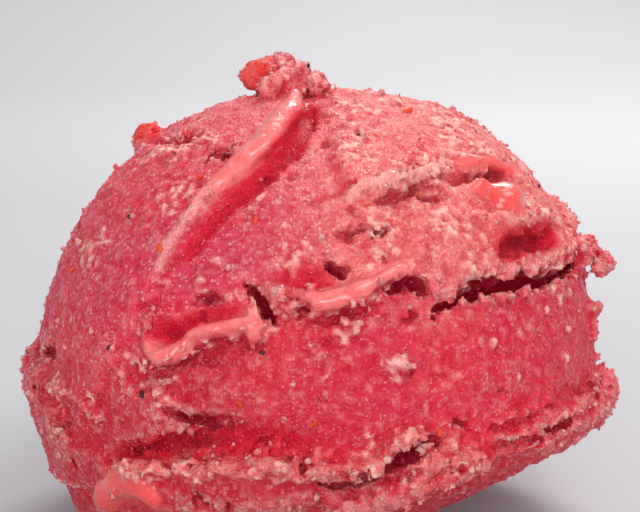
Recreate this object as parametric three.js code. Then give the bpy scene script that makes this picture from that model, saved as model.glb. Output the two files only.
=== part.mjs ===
// A scoop of ice cream: a packed ball with overlapping sheets, rolled lips, ledges and crags, on the
// ragged collar and slanting foot that the scoop's rim leaves. It is one solid, shaped as a field of
// distances: forms are laid on a ball or cut from it, tetrahedra mesh the surface where the field is
// zero, and the mesh is thinned. Millimetres, +Z up, the flat foot on z = 0, the front towards -Y.

import * as THREE from 'three';

// ---- Driving dimensions, in millimetres and degrees

const BALL = { radius: 29, height: 18.7, squash: 0.943 }; // squash: pressed flatter above its centre
const DRAWN_RADIUS = 29.5; // the forms are drawn on a ball of this radius
const COLLAR = { radius: 30, out: 1.2, up: 1, drop: 0.6, fade: 3 };
const BOWL = { radius: 30.7, height: 15 };
const FOOT = { apex: [-21.7, 0, -17.8], halfAngle: 37.9, lean: 20.8 };
const CRAGS = { size: 3.6, depth: 0.22, fineSize: 1.7, fineDepth: 0.1 };
const RAGGED = { size: 2.3, shift: 0.42, outward: 0.3 }; // outward: the share that moves faces in and out
const GRID = { step: 0.8, reach: 36, top: 55 };
const TRIANGLES = 11400;

// Thinning: the first error allowed, the cost of a long move, and what a triangle keeps
const FIRST_LIMIT = 1e-4;
const LENGTH_COST = 2e-4;
const LEAST_TURN = 0.35;
const LEAST_AREA = 0.02;

const { smoothstep, degToRad, radToDeg, seededRandom } = THREE.MathUtils;
const CENTRE = new THREE.Vector3(0, 0, BALL.height);

// ---- Drawing on the ball: each side has its own right and up, and looks at the ball's centre.
// A drawing's origin may lie aside of that centre.

function side(azimuth, elevation, aside = 0) {
  const turn = degToRad(azimuth);
  const tip = degToRad(elevation);
  const toward = new THREE.Vector3(
    Math.cos(tip) * Math.sin(turn), -Math.cos(tip) * Math.cos(turn), Math.sin(tip));
  const right = new THREE.Vector3(Math.cos(turn), Math.sin(turn), 0);
  return { toward, right, up: toward.clone().cross(right), aside };
}

const FRONT = side(0, 16, -1.1);
const RIGHT = side(90, 16);
const BACK = side(180, 16);
const LEFT = side(270, 16);

// The way from the ball's centre to the point that a side's drawing has at [across, up].
function way(from, [drawnAcross, drawnUp]) {
  const across = drawnAcross + from.aside;
  const up = drawnUp > 0 ? drawnUp / BALL.squash : drawnUp;
  const out = Math.hypot(across, up);
  const keep = Math.min(1, 0.998 * DRAWN_RADIUS / out);
  const deep = Math.sqrt(DRAWN_RADIUS ** 2 - (keep * out) ** 2);
  return new THREE.Vector3()
    .addScaledVector(from.right, across * keep)
    .addScaledVector(from.up, up * keep)
    .addScaledVector(from.toward, deep)
    .normalize();
}

const ways = (from, points) => points.map((point) => way(from, point));
const onBall = (direction, raise) => direction.clone().multiplyScalar(BALL.radius + raise).add(CENTRE);

// ---- Joining and cutting fields with a fillet

function join(a, b, fillet) {
  const near = Math.max(fillet - Math.abs(a - b), 0);
  return Math.min(a, b) - near * near / (4 * fillet);
}

const cut = (a, b, fillet) => -join(-a, b, fillet);

// ---- Smooth random relief, from -1 to 1

function hash(x, y, z) {
  const wave = Math.sin(x * 127.1 + y * 311.7 + z * 74.7) * 43758.5453;
  return wave - Math.floor(wave);
}

const mix = (a, b, t) => a + (b - a) * t;
const ease = (t) => t * t * (3 - 2 * t);

function relief(x, y, z) {
  const [i, j, k] = [Math.floor(x), Math.floor(y), Math.floor(z)];
  const [a, b, c] = [ease(x - i), ease(y - j), ease(z - k)];
  const edge = (dj, dk) => mix(hash(i, j + dj, k + dk), hash(i + 1, j + dj, k + dk), a);
  return 2 * mix(mix(edge(0, 0), edge(1, 0), b), mix(edge(0, 1), edge(1, 1), b), c) - 1;
}

// ---- Forms: each takes the field's value so far and a point, and gives the new value

// A sheet of ice cream lies raised inside its outline, which is a ring of ways on the ball. Its
// edge is bevelled, and it thins out to nothing between the two heights of `fade`.
function sheet(outline, { lift, bevel = 0.7, fade = [-2, -1] }) {
  const pole = outline.reduce((sum, one) => sum.add(one), new THREE.Vector3()).normalize();
  const across = new THREE.Vector3(-pole.y, pole.x + 1e-9, 0).normalize();
  const along = pole.clone().cross(across);
  const spread = (d) => {
    const out = Math.acos(THREE.MathUtils.clamp(d.dot(pole), -1, 1)) * BALL.radius;
    const [a, b] = [d.dot(across), d.dot(along)];
    const flat = Math.hypot(a, b) || 1;
    return [out * a / flat, out * b / flat];
  };
  const ring = outline.map(spread);
  const d = new THREE.Vector3();
  return (value, p) => {
    const [a, b] = spread(d.copy(p).sub(CENTRE).normalize());
    let nearest = Infinity;
    let inside = false;
    for (let i = 0, j = ring.length - 1; i < ring.length; j = i++) {
      const [[ai, bi], [aj, bj]] = [ring[i], ring[j]];
      const t = ((a - ai) * (aj - ai) + (b - bi) * (bj - bi)) / ((aj - ai) ** 2 + (bj - bi) ** 2);
      const s = Math.min(1, Math.max(0, t));
      nearest = Math.min(nearest, Math.hypot(a - ai - s * (aj - ai), b - bi - s * (bj - bi)));
      if ((bi > b) !== (bj > b) && a < ai + (b - bi) * (aj - ai) / (bj - bi)) inside = !inside;
    }
    const height = smoothstep(p.z, fade[0], fade[1]);
    return value - lift * height * smoothstep(inside ? nearest : -nearest, -bevel, bevel);
  };
}

// A stroke follows a route of ways, raised off the ball. Its section is an ellipse, `wide` across
// the route and `thick` away from the ball, tipped by `lean`. It thins to `ends` at both ends and
// grows or shrinks along its length by `taper`. `raise` is one height, or one for each way.
function stroke(how, route, { raise = 0, wide, thick, lean = 0, ends = 0.5, taper = [1, 1], fillet = 0.6 }) {
  const heights = [raise].flat();
  const line = new THREE.CatmullRomCurve3(
    route.map((one, i) => onBall(one, heights[i % heights.length])), false, 'centripetal');
  const spans = Math.max(2, Math.ceil(line.getLength() / 1.5));
  const points = line.getSpacedPoints(spans);
  const size = points.map((_, i) => mix(ends, 1, Math.sqrt(1 - (2 * i / spans - 1) ** 2))
    * mix(...taper, i / spans));
  const hub = line.getPointAt(0.5);
  const far = Math.max(...points.map((one) => one.distanceTo(hub))) + Math.max(wide, thick) + fillet;
  const [d, n, m, e] = [0, 1, 2, 3].map(() => new THREE.Vector3());
  const round = Math.min(wide, thick);
  const [cos, sin] = [Math.cos(degToRad(lean)), Math.sin(degToRad(lean))];
  return (value, p) => {
    if (p.distanceTo(hub) - far > Math.max(value, 0)) return value;
    let best = Infinity;
    for (let i = 0; i < spans; i++) {
      e.subVectors(points[i + 1], points[i]);
      const length = e.length();
      e.divideScalar(length);
      const t = Math.min(1, Math.max(0, d.subVectors(p, points[i]).dot(e) / length));
      d.addScaledVector(e, -t * length);
      n.copy(points[i]).sub(CENTRE).normalize();
      m.crossVectors(n, e).normalize();
      const [out, aside, on] = [d.dot(n), d.dot(m), d.dot(e)];
      const [tall, flat] = [out * cos + aside * sin, aside * cos - out * sin];
      const scale = mix(size[i], size[i + 1], t);
      const off = Math.hypot(tall / thick, flat / wide, on / wide) - scale;
      best = Math.min(best, off * round);
    }
    return how(value, best, fillet);
  };
}

// A lump is an ellipsoid: `across` and `along` lie on the ball's surface, `out` points from it.
function lump(how, place, { raise = 0, across, along, out, fillet = 0.6 }) {
  const hub = onBall(place, raise);
  const n = place.clone();
  const m = new THREE.Vector3(-n.y, n.x, 0).normalize();
  const e = n.clone().cross(m);
  const far = Math.max(across, along, out) + fillet;
  const round = Math.min(across, along, out);
  const d = new THREE.Vector3();
  return (value, p) => {
    if (d.subVectors(p, hub).length() - far > Math.max(value, 0)) return value;
    const off = Math.hypot(d.dot(m) / across, d.dot(e) / along, d.dot(n) / out) - 1;
    return how(value, off * round, fillet);
  };
}

// Crumbs of mixed sizes lie scattered round the points of a route.
function crumbs(route, { count, size, spread, seed }) {
  seededRandom(seed);
  return Array.from({ length: count }, (_, i) => {
    const [a, b, c] = [0, 1, 2].map(() => seededRandom() * 2 - 1);
    const place = route[i % route.length].clone();
    place.addScaledVector(new THREE.Vector3(a, b, c), spread / BALL.radius).normalize();
    const r = size * mix(0.6, 1.2, seededRandom());
    return lump(join, place, { raise: r * 0.4, across: r * 1.2, along: r, out: r, fillet: 0.4 });
  });
}

// ---- The sheets: the cap over the band, the dome on its left and the crown on its right

const CAP_EDGE = [
  ...ways(FRONT, [[-12, -9.8], [-8.6, -8.4], [-10.2, -6.2], [-14.4, -4.4], [-17.8, -2.6], [-17.4, -0.8],
    [-14.4, -1], [-12.2, -0.2], [-10.9, 1], [-7.2, 1.4], [-5, 1.7], [-4.4, 4], [-3.4, 4.4], [-1.6, 4.1],
    [0.3, 3.8], [3.1, 4.6], [5.9, 5.7], [7.2, 6.6], [9.3, 7.3], [10.6, 6], [12.4, 5.3], [14.3, 6.4],
    [16.2, 7], [18.5, 7.6], [21.4, 8], [25, 8.9]]),
  ...ways(RIGHT, [[-5, 5.2], [1, 4.6], [7, 6.4], [13, 5.2], [18, 2.4]]),
  ...ways(BACK, [[-20, 3.4], [-15, 5.6], [-9.5, 4.8], [-4, 7.6], [3, 6.6], [8, 3.2], [13, -0.6], [17, -6],
    [16, -12]]),
  ...ways(LEFT, [[-14, -17], [-4, -18], [6, -18], [16, -16]]),
];
const DOME_EDGE = [
  ...ways(FRONT, [[-2.2, 26.7], [-3.9, 22.9], [-6.3, 19.3], [-9.9, 16.1], [-12.7, 13.3], [-14.9, 9.9],
    [-16.6, 6], [-18, 2.4], [-20, -3], [-23, -9]]),
  ...ways(LEFT, [[8, -15], [-6, -14]]),
  ...ways(BACK, [[21, -8], [18.5, 0], [19, 7], [14, 12], [12, 17], [7, 20], [4, 25]]),
];
const CROWN_EDGE = [
  ...ways(FRONT, [[0.8, 24], [1.6, 19], [3.4, 15.6], [6.5, 16.6], [8.5, 17.7], [12.6, 18.9], [15.8, 18.7],
    [19.2, 18.4], [21.6, 16.6]]),
  ...ways(RIGHT, [[-3, 13.5], [5, 11.8], [12, 14]]),
  ...ways(BACK, [[-19, 13], [-12, 12], [-8, 16], [-2, 17.5], [0, 23]]),
];

const SHEETS = [
  sheet(CAP_EDGE, { lift: 0.9 }),
  sheet(DOME_EDGE, { lift: 0.9, fade: [6, 24] }),
  sheet(CROWN_EDGE, { lift: 0.6 }),
];

// ---- The front's forms

const RIDGE = ways(FRONT, [[-2.3, 26], [-2.9, 24.4], [-4, 22.4], [-4.9, 21], [-6.1, 19.8], [-7.2, 18.6],
  [-8.2, 17.5], [-9.4, 16.6]]);
const RIDGE_END = ways(FRONT, [[-8.6, 17.2], [-12, 14.2], [-14.4, 10.9], [-16.2, 8.1], [-16.8, 6.7]]);
const VALLEY = ways(FRONT, [[-1.3, 24.8], [-3.3, 20], [-6.6, 16.6], [-10.1, 13.5], [-13.4, 9]]);
const CREST_UP_RIGHT = ways(FRONT, [[3.3, 14.5], [6, 16], [9.6, 17.2], [11.5, 17.7], [13.2, 18.5]]);
const LIP_UP_RIGHT = ways(FRONT, [[13.8, 18.4], [16.2, 18.8], [18.2, 18.9], [20.6, 18.2]]);
const RAGGED_LIP = ways(FRONT, [[14.3, 13.4], [16.4, 12.8], [18.2, 12.7], [19.6, 13.1], [21.6, 13.3],
  [24.2, 13.4]]);
const CRACK = ways(FRONT, [[12, 4.4], [13.7, 5.1], [15.7, 6], [18, 6.6], [20.8, 7.1], [23.9, 7.5],
  [26, 7.9]]);
const CAVE = ways(FRONT, [[7.3, 5.9], [8.4, 6.5], [9.3, 6.8], [10.3, 6.3], [10.9, 5.9]]);
const FLAP_A_LEFT = ways(FRONT, [[-16.2, 0.1], [-15.1, 0], [-13.9, 0.2], [-12.8, 0.6], [-11.2, 1.8]]);
const FLAP_A_RIGHT = ways(FRONT, [[-11.2, 1.9], [-10.4, 2.2], [-9.1, 2.5], [-7.4, 2.6], [-5.3, 3.3]]);
const FLAP_B = ways(FRONT, [[0.7, 4.9], [2.2, 5.3], [4.1, 5.8], [5.9, 6.7], [7, 7.7], [7.8, 8.5], [9, 8.8]]);
const FLAP_B_LEFT = ways(FRONT, [[-4, 5.2], [-2.8, 5], [-1.6, 5], [-0.4, 5.1]]);
const FLAP_GAP = ways(FRONT, [[-6.6, 6.4], [-5.9, 5.7], [-5, 4.7], [-4.5, 3.8], [-4.2, 2.9]]);
const CHUNK = ways(FRONT, [[-20.4, -13.4], [-15.2, -13.2], [-11.1, -13], [-6.3, -12.6], [-1.6, -12.8]]);
const CHUNK_CREST = ways(FRONT, [[-19.4, -12], [-17.7, -10.7], [-16.4, -10.2], [-14.2, -10.3]]);
const CHUNK_CREST_RIGHT = ways(FRONT, [[-12.2, -10.7], [-9.8, -10.6], [-8.5, -9.8], [-5.9, -10.4],
  [-3.8, -9.8],
  [-1.3, -10.6]]);
const WET_CHUNK = ways(FRONT, [[-20.4, -15.4], [-19.6, -13.6], [-18, -12.9], [-16.4, -13.2], [-15.6, -14.4]]);
const LEDGE = ways(FRONT, [[0, -9.2], [0.6, -10.9], [1.6, -11.4], [4.2, -10.3], [7, -9], [8.2, -8.2],
  [9.8, -7.6]]);
const LEDGE_GAP = ways(FRONT, [[1, -12.8], [2.8, -12.2], [4.1, -11.8], [5.9, -11.2], [8.7, -9.9],
  [11.8, -8.2]]);
const UNDER_LEDGE = ways(FRONT, [[2.2, -14.6], [5.2, -13.8], [8, -13], [10.7, -12.2], [13.4, -11.2],
  [15.6, -10]]);
const RIGHT_CHUNK = ways(FRONT, [[9.3, -12], [10.1, -10.9], [12.2, -9.9], [13.6, -9.9], [15.6, -10.9]]);
const THIN_CREST = ways(FRONT, [[16.4, -6.8], [19.7, -5.7], [21.9, -5], [24, -3.6]]);
const LOW_CREST = ways(FRONT, [[17.2, -8.3], [20.8, -6.7], [24.3, -5.3], [28, -4.2]]);
const RIM_LEFT = ways(FRONT, [[-29.2, -1.2], [-27.6, -1.9], [-26, -3.2], [-22.3, -4.2], [-20.8, -6]]);

const FRONT_FORMS = [
  // The ridge is a roll from the knob down the edge of the dome, with a valley on its right.
  stroke(cut, VALLEY, { raise: 0.9, wide: 1.3, thick: 1.3, taper: [1.1, 0.6] }),
  stroke(join, RIDGE, { raise: 1.5, wide: 1.5, thick: 1.3, ends: 0.6, taper: [1.1, 0.7], fillet: 0.4 }),
  stroke(join, RIDGE_END, { raise: 1.1, wide: 0.7, thick: 0.8, ends: 0.7, taper: [1.3, 0.7] }),
  stroke(join, ways(FRONT, [[-12.6, 20.1], [-11.4, 20.7], [-9.9, 21.1], [-8, 21.1]]),
    { raise: 1.3, wide: 0.9, thick: 0.9 }),
  stroke(cut, ways(FRONT, [[-11.1, 17.7], [-10.2, 18.3], [-9.2, 19], [-8, 19.8]]),
    { raise: 0.4, wide: 1.15, thick: 2.6, taper: [0.6, 1.3], fillet: 0.3 }),
  // The knob on top: an overhanging left lobe, a strip of crumb and a right lobe.
  stroke(cut, ways(FRONT, [[-8.6, 27.2], [-6.6, 26.6], [-4.8, 26]]), { raise: 1.1, wide: 0.8, thick: 1.2 }),
  lump(join, way(FRONT, [-3.1, 26.7]), { raise: 1.4, across: 3, along: 2.4, out: 2.4 }),
  lump(join, way(FRONT, [-5.2, 27]), { raise: 3.5, across: 2.5, along: 2.2, out: 2, fillet: 0.5 }),
  lump(join, way(FRONT, [-3.4, 27.4]), { raise: 4, across: 2, along: 1.8, out: 1.7, fillet: 0.4 }),
  stroke(join, ways(FRONT, [[-2.6, 27.6], [-2.8, 26.8], [-4.2, 25.8], [-5, 25.2]]),
    { raise: [3.6, 3.2, 2.6, 2], wide: 1, thick: 1.1, ends: 0.7, fillet: 0.4 }),
  lump(join, way(FRONT, [-1.6, 27.2]), { raise: 3.3, across: 1.5, along: 1.7, out: 1.5, fillet: 0.4 }),
  lump(join, way(FRONT, [0.2, 26.6]), { raise: 2.4, across: 1.3, along: 1.9, out: 1.5, fillet: 0.4 }),
  // The ragged crests of the dome's far edge, and the nub on the skyline.
  stroke(join, ways(FRONT, [[-17.2, 20.9], [-14.7, 19.6], [-12.4, 19], [-10.8, 19.6]]),
    { raise: 1.2, wide: 0.7, thick: 0.8 }),
  stroke(cut, ways(FRONT, [[-16.6, 21.6], [-13.6, 20.8], [-11.4, 21.3]]),
    { raise: 1.7, wide: 0.8, thick: 0.9 }),
  stroke(join, ways(FRONT, [[-18, 21.6], [-15.4, 22.9], [-12, 24.2], [-8.4, 25.6]]),
    { raise: 0.9, wide: 1.2, thick: 1.2 }),
  lump(join, way(FRONT, [-18.2, 22.3]), { raise: 0.8, across: 2.5, along: 2, out: 1.8 }),
  lump(join, way(FRONT, [-18.6, 22.5]), { raise: 2, across: 1.7, along: 1.6, out: 2.3 }),
  // The crest and lip of the crown's edge, the bay under them, and the drop that hangs in it.
  stroke(cut, ways(FRONT, [[6.2, 14.2], [8.2, 15], [10.1, 15.5], [12.4, 15.8]]),
    { raise: 0.5, wide: 1.1, thick: 1.2 }),
  stroke(cut, ways(FRONT, [[13.4, 16.9], [16, 17.3], [18.6, 17.2], [21, 16.4]]),
    { raise: 0.6, wide: 1, thick: 1.3 }),
  stroke(join, CREST_UP_RIGHT, { raise: 1, wide: 0.8, thick: 0.8 }),
  stroke(join, LIP_UP_RIGHT, { raise: 1.1, wide: 0.9, thick: 0.9, ends: 0.6, fillet: 0.4 }),
  lump(join, way(FRONT, [18.8, 15.2]), { raise: 1.1, across: 2.2, along: 1.9, out: 1.7, fillet: 0.25 }),
  lump(join, way(FRONT, [16.3, 16.1]), { raise: 0.9, across: 1.1, along: 0.8, out: 0.9, fillet: 0.3 }),
  // The ragged hollow above the flaps.
  stroke(cut, ways(FRONT, [[2.4, 10.8], [4.2, 11.6], [6, 11], [7.6, 11.6]]),
    { raise: 0.5, wide: 0.9, thick: 1.1, fillet: 0.4 }),
  // The ragged lip over a smooth recess, on the right.
  stroke(cut, ways(FRONT, [[18.3, 10], [19.7, 10.8], [21.5, 11.3], [23.4, 11.8]]),
    { raise: 0.5, wide: 1.35, thick: 1.6, ends: 0.8, fillet: 0.3 }),
  stroke(join, RAGGED_LIP, { raise: 0.9, wide: 0.9, thick: 1 }),
  // The crack under the cap's edge runs in and up, with a cave and a slot on its left.
  stroke(cut, CRACK, { raise: -0.9, wide: 1, thick: 3.4, lean: 16, ends: 0.35, fillet: 0.25 }),
  stroke(cut, CAVE, { raise: -0.2, wide: 0.9, thick: 1.9, fillet: 0.3 }),
  stroke(cut, ways(FRONT, [[7.5, 2.9], [8.6, 3.5], [9.7, 4.2]]),
    { raise: 0.1, wide: 0.5, thick: 1.3, fillet: 0.2 }),
  // Two flaps hang over the band, with a dark gap between them and hollows behind their lips.
  stroke(cut, ways(FRONT, [[-15.6, -1.2], [-13, -0.8], [-11.4, 0], [-8.6, 0.9], [-5.6, 1]]),
    { raise: 0.2, wide: 0.9, thick: 1.2, fillet: 0.4 }),
  stroke(cut, ways(FRONT, [[-3.6, 3.7], [-1.2, 3.6], [0.6, 3.3], [2.6, 3.6], [4.6, 4.3], [6.6, 5]]),
    { raise: 0.3, wide: 0.8, thick: 1.1, fillet: 0.4 }),
  stroke(join, FLAP_A_LEFT, { raise: 1.1, wide: 1.1, thick: 1.1, ends: 0.7, fillet: 0.4 }),
  stroke(join, FLAP_A_RIGHT, { raise: 1.3, wide: 0.9, thick: 1.1, ends: 0.9, fillet: 0.4 }),
  stroke(join, ways(FRONT, [[-5.5, 3.8], [-5.4, 2.8], [-5.6, 2.1]]),
    { raise: 1.3, wide: 0.9, thick: 1, ends: 0.8, fillet: 0.4 }),
  stroke(join, FLAP_B_LEFT, { raise: 1, wide: 0.8, thick: 1, ends: 0.8 }),
  stroke(join, FLAP_B,
    { raise: 1.2, wide: 1.1, thick: 1.1, lean: -15, ends: 0.75, taper: [1.05, 0.6], fillet: 0.4 }),
  stroke(cut, FLAP_GAP, { raise: 0, wide: 0.9, thick: 2.6, taper: [0.8, 1.1], fillet: 0.3 }),
  lump(cut, way(FRONT, [-13.7, 1.9]), { raise: 1.2, across: 1.7, along: 1, out: 1.8 }),
  lump(cut, way(FRONT, [-10.9, 3.6]), { raise: 1, across: 0.7, along: 0.8, out: 1.3, fillet: 0.3 }),
  lump(cut, way(FRONT, [-10, 5.3]), { raise: 0.9, across: 1.3, along: 0.8, out: 1.7, fillet: 0.3 }),
  lump(cut, way(FRONT, [1.1, 8.3]), { raise: 0.7, across: 0.8, along: 0.7, out: 1.8, fillet: 0.4 }),
  lump(cut, way(FRONT, [2.6, 7.7]), { raise: 0.7, across: 0.9, along: 0.7, out: 1.6, fillet: 0.4 }),
  // The hollow left of the band, with crumbs above it.
  stroke(cut, ways(FRONT, [[-13.9, -5.6], [-10.5, -6.5], [-7.6, -6.9]]),
    { raise: 0.1, wide: 0.9, thick: 1.4 }),
  ...crumbs(ways(FRONT, [[-15.2, -3.2], [-13.6, -3.8], [-12.2, -4.8]]),
    { count: 8, size: 0.7, spread: 1.2, seed: 3 }),
  // The collar's front: crumbly chunks with a wet one on the left, behind them a valley.
  stroke(cut, ways(FRONT, [[-18.6, -10], [-14, -8.9], [-9, -8.5], [-4, -8.4], [-0.9, -8.8]]),
    { raise: 0.6, wide: 0.9, thick: 0.9, fillet: 0.8 }),
  stroke(join, CHUNK, { raise: 0.8, wide: 2.6, thick: 1.6, ends: 0.7 }),
  stroke(join, CHUNK_CREST, { raise: 1.1, wide: 0.7, thick: 1, ends: 0.7 }),
  stroke(join, CHUNK_CREST_RIGHT, { raise: 1, wide: 0.8, thick: 1.2, ends: 0.7 }),
  stroke(join, WET_CHUNK, { raise: 1.2, wide: 1.7, thick: 1.5, ends: 0.8 }),
  lump(cut, way(FRONT, [-12.9, -10.4]), { raise: 1, across: 0.8, along: 0.8, out: 1.4, fillet: 0.3 }),
  lump(cut, way(FRONT, [-0.7, -10.2]), { raise: 0.9, across: 0.7, along: 0.9, out: 1.4, fillet: 0.3 }),
  // The ledge over the dark gap, the chunk on the gap's right, and the crests beyond it.
  stroke(join, UNDER_LEDGE, { raise: 0.6, wide: 1.3, thick: 1.5, ends: 0.7 }),
  stroke(cut, LEDGE_GAP,
    { raise: -0.3, wide: 0.95, thick: 2.8, lean: 14, ends: 0.3, taper: [0.7, 1.2], fillet: 0.25 }),
  stroke(join, LEDGE, { raise: 0.9, wide: 0.8, thick: 1.2, ends: 0.6, fillet: 0.4 }),
  stroke(join, RIGHT_CHUNK, { raise: 1, wide: 0.8, thick: 1.2, ends: 0.7, fillet: 0.4 }),
  stroke(join, THIN_CREST, { raise: 0.2, wide: 0.6, thick: 0.9, fillet: 0.4 }),
  stroke(cut, ways(FRONT, [[15.6, -9.2], [20.4, -7.6], [24.6, -6.2]]), { raise: 1.4, wide: 0.9, thick: 0.9 }),
  stroke(join, LOW_CREST, { raise: 0.9, wide: 0.8, thick: 1.3 }),
  // The rim's flare on the left, with crumbs and the seam under it.
  stroke(cut, ways(FRONT, [[-27.8, 0.4], [-26.6, -0.4], [-25.4, 0.4]]), { raise: 1, wide: 0.8, thick: 1.1 }),
  stroke(join, RIM_LEFT, { raise: [2.2, 1.6, 1.2, 1.2, 1.2], wide: 1.1, thick: 1.5 }),
  ...crumbs(ways(FRONT, [[-25.9, -2.4], [-25.5, -4], [-24.1, -4.4], [-22.2, -5.7]]),
    { count: 8, size: 0.7, spread: 1, seed: 5 }),
  stroke(cut, ways(FRONT, [[-24.2, -6.2], [-23.9, -8.5], [-23.5, -11.4]]),
    { raise: 2, wide: 0.7, thick: 1.2 }),
  // The flake and the teeth on the right skyline.
  stroke(join, ways(FRONT, [[26.4, 10.8], [27.8, 11.1], [28.5, 10.8]]),
    { raise: [0.2, 1.4, 2.6], wide: 1, thick: 1, ends: 0.8, fillet: 0.4 }),
  stroke(join, ways(FRONT, [[28.5, 10.4], [28.7, 9.4], [28.3, 8.2]]),
    { raise: [2.6, 2.9, 1.7], wide: 1, thick: 0.9, ends: 0.7, fillet: 0.4 }),
  stroke(join, ways(FRONT, [[26.8, 10.6], [27.2, 9.6]]), { raise: 1.2, wide: 0.8, thick: 0.8, ends: 0.8 }),
  ...crumbs(ways(FRONT, [[28.9, 4.4], [29.1, 2.4], [29.4, -1.6], [29.2, -3.4]]),
    { count: 10, size: 0.8, spread: 1.6, seed: 8 }),
];

// ---- The other sides' forms, in the same manner: lips over cracks, rolls, pits and crumbs

const SIDE_FORMS = [
  stroke(cut, ways(RIGHT, [[-13, 5.4], [-7, 3.9], [0, 3.4], [6, 4.9], [11, 4.2]]),
    { raise: -0.8, wide: 0.8, thick: 2.8, lean: 18, ends: 0.3, fillet: 0.3 }),
  stroke(join, ways(RIGHT, [[-2, 6.4], [3, 6.6], [8, 7.8], [13, 6.6]]),
    { raise: 1, wide: 1.2, thick: 1.2, lean: 12 }),
  stroke(join, ways(RIGHT, [[2, 22], [7, 19], [10, 14.5], [16, 13]]), { raise: 1.2, wide: 1.3, thick: 1.3 }),
  stroke(cut, ways(RIGHT, [[4, 17.6], [7, 15.4], [8.4, 12.4]]), { raise: 1, wide: 1, thick: 1.2 }),
  lump(cut, way(RIGHT, [-8, 16]), { raise: 1, across: 1.6, along: 0.9, out: 1.7 }),
  lump(cut, way(RIGHT, [2, -2.5]), { raise: 0.4, across: 1.5, along: 0.8, out: 1.4 }),
  stroke(cut, ways(BACK, [[-17, 3.4], [-11, 3.6], [-6, 5], [-1, 6.2]]),
    { raise: -0.8, wide: 0.8, thick: 2.8, lean: 18, ends: 0.3, fillet: 0.3 }),
  stroke(join, ways(BACK, [[-14, 7], [-8.6, 6.6], [-3.4, 8.8], [3, 8]]),
    { raise: 1, wide: 1.5, thick: 1.2, lean: 12 }),
  stroke(cut, ways(BACK, [[5.6, 4], [9, 1], [13.4, -3]]), { raise: 0.2, wide: 0.9, thick: 1.6 }),
  stroke(join, ways(BACK, [[6, 24], [12, 19.5], [17, 12.5], [18.6, 6], [18, 0]]),
    { raise: 1.1, wide: 1.4, thick: 1.3 }),
  stroke(cut, ways(BACK, [[8, 20], [11.8, 15.6], [14.6, 10]]), { raise: 0.9, wide: 1.2, thick: 1 }),
  stroke(join, ways(BACK, [[-20, 14.4], [-14, 13], [-9, 16.4], [-3, 18.4]]),
    { raise: 0.9, wide: 1, thick: 1.1 }),
  lump(cut, way(BACK, [3, 13]), { raise: 1.1, across: 2.2, along: 1.2, out: 1.8 }),
  lump(cut, way(BACK, [-6, -2]), { raise: 0.5, across: 1.8, along: 0.9, out: 1.5 }),
  ...crumbs(ways(BACK, [[-8, 1], [2, -4], [10, 6], [-13, 9], [0, 21]]),
    { count: 20, size: 0.9, spread: 4, seed: 11 }),
  stroke(join, ways(LEFT, [[-12, 10], [-5, 12.4], [2, 11], [9, 13]]), { raise: 1.3, wide: 1, thick: 0.9 }),
  stroke(cut, ways(LEFT, [[-11, 8.2], [-4.6, 10.4], [1.6, 9.2]]), { raise: 1.9, wide: 0.9, thick: 1 }),
  stroke(join, ways(LEFT, [[-16, -3], [-9, -1], [-1, -2.6], [5, -1.4]]), { raise: 1.2, wide: 0.9, thick: 1 }),
  lump(cut, way(LEFT, [-8, 3.4]), { raise: 1.4, across: 1.8, along: 0.9, out: 1.6 }),
  lump(cut, way(LEFT, [6, 19]), { raise: 1.6, across: 1.5, along: 1, out: 1.5 }),
  ...crumbs(ways(LEFT, [[-14, 4], [-3, 6], [6, -6], [12, 16], [-6, 18]]),
    { count: 18, size: 0.8, spread: 4, seed: 17 }),
];

// The collar breaks into chunks on the sides that the front's forms don't cover.
const COLLAR_FORMS = [75, 107, 143, 176, 205, 242, 271].flatMap((azimuth, i) => {
  const from = side(azimuth, 0);
  const low = i % 2 ? -3.2 : -2.2;
  return [
    stroke(join, ways(from, [[-7, low], [-2, low - 0.5], [3, low + 0.3], [7, low - 0.2]]),
      { raise: 1, wide: mix(0.9, 1.4, hash(i, 1, 1)), thick: mix(1, 1.6, hash(i, 2, 1)), ends: 0.6 }),
    lump(cut, way(from, [8.4, low + 0.6]), { raise: 2.2, across: 0.9, along: 2, out: 1.6 }),
  ];
});

const FORMS = [...SHEETS, ...COLLAR_FORMS, ...SIDE_FORMS, ...FRONT_FORMS];

// ---- The body under the forms: the ball on its brim, cut to the slanting cone, and the collar

// The brim's rim: the angle round from the front, its height there, and how strong the collar is.
const RIM = [
  [-180, 15.6, 1], [-140, 16.4, 1], [-110, 17.4, 1], [-90, 17.9, 1], [-68, 16.8, 0.8], [-54, 13.5, 0],
  [-40, 12.6, 0], [-30, 15.2, 0.6], [-15, 16.6, 1], [0, 16.2, 1], [15, 17.2, 1], [35, 16.8, 1],
  [55, 17, 1], [75, 16.4, 1], [90, 15.4, 1], [130, 15, 1], [180, 15.6, 1],
];
const rim = new THREE.LinearInterpolant(RIM.map(([angle]) => angle), RIM.flatMap(([, ...rest]) => rest), 2);

const FOOT_APEX = new THREE.Vector3(...FOOT.apex);
const FOOT_AXIS = new THREE.Vector3(Math.sin(degToRad(FOOT.lean)), 0, Math.cos(degToRad(FOOT.lean)));
const FOOT_SLOPE = degToRad(FOOT.halfAngle);

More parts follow.
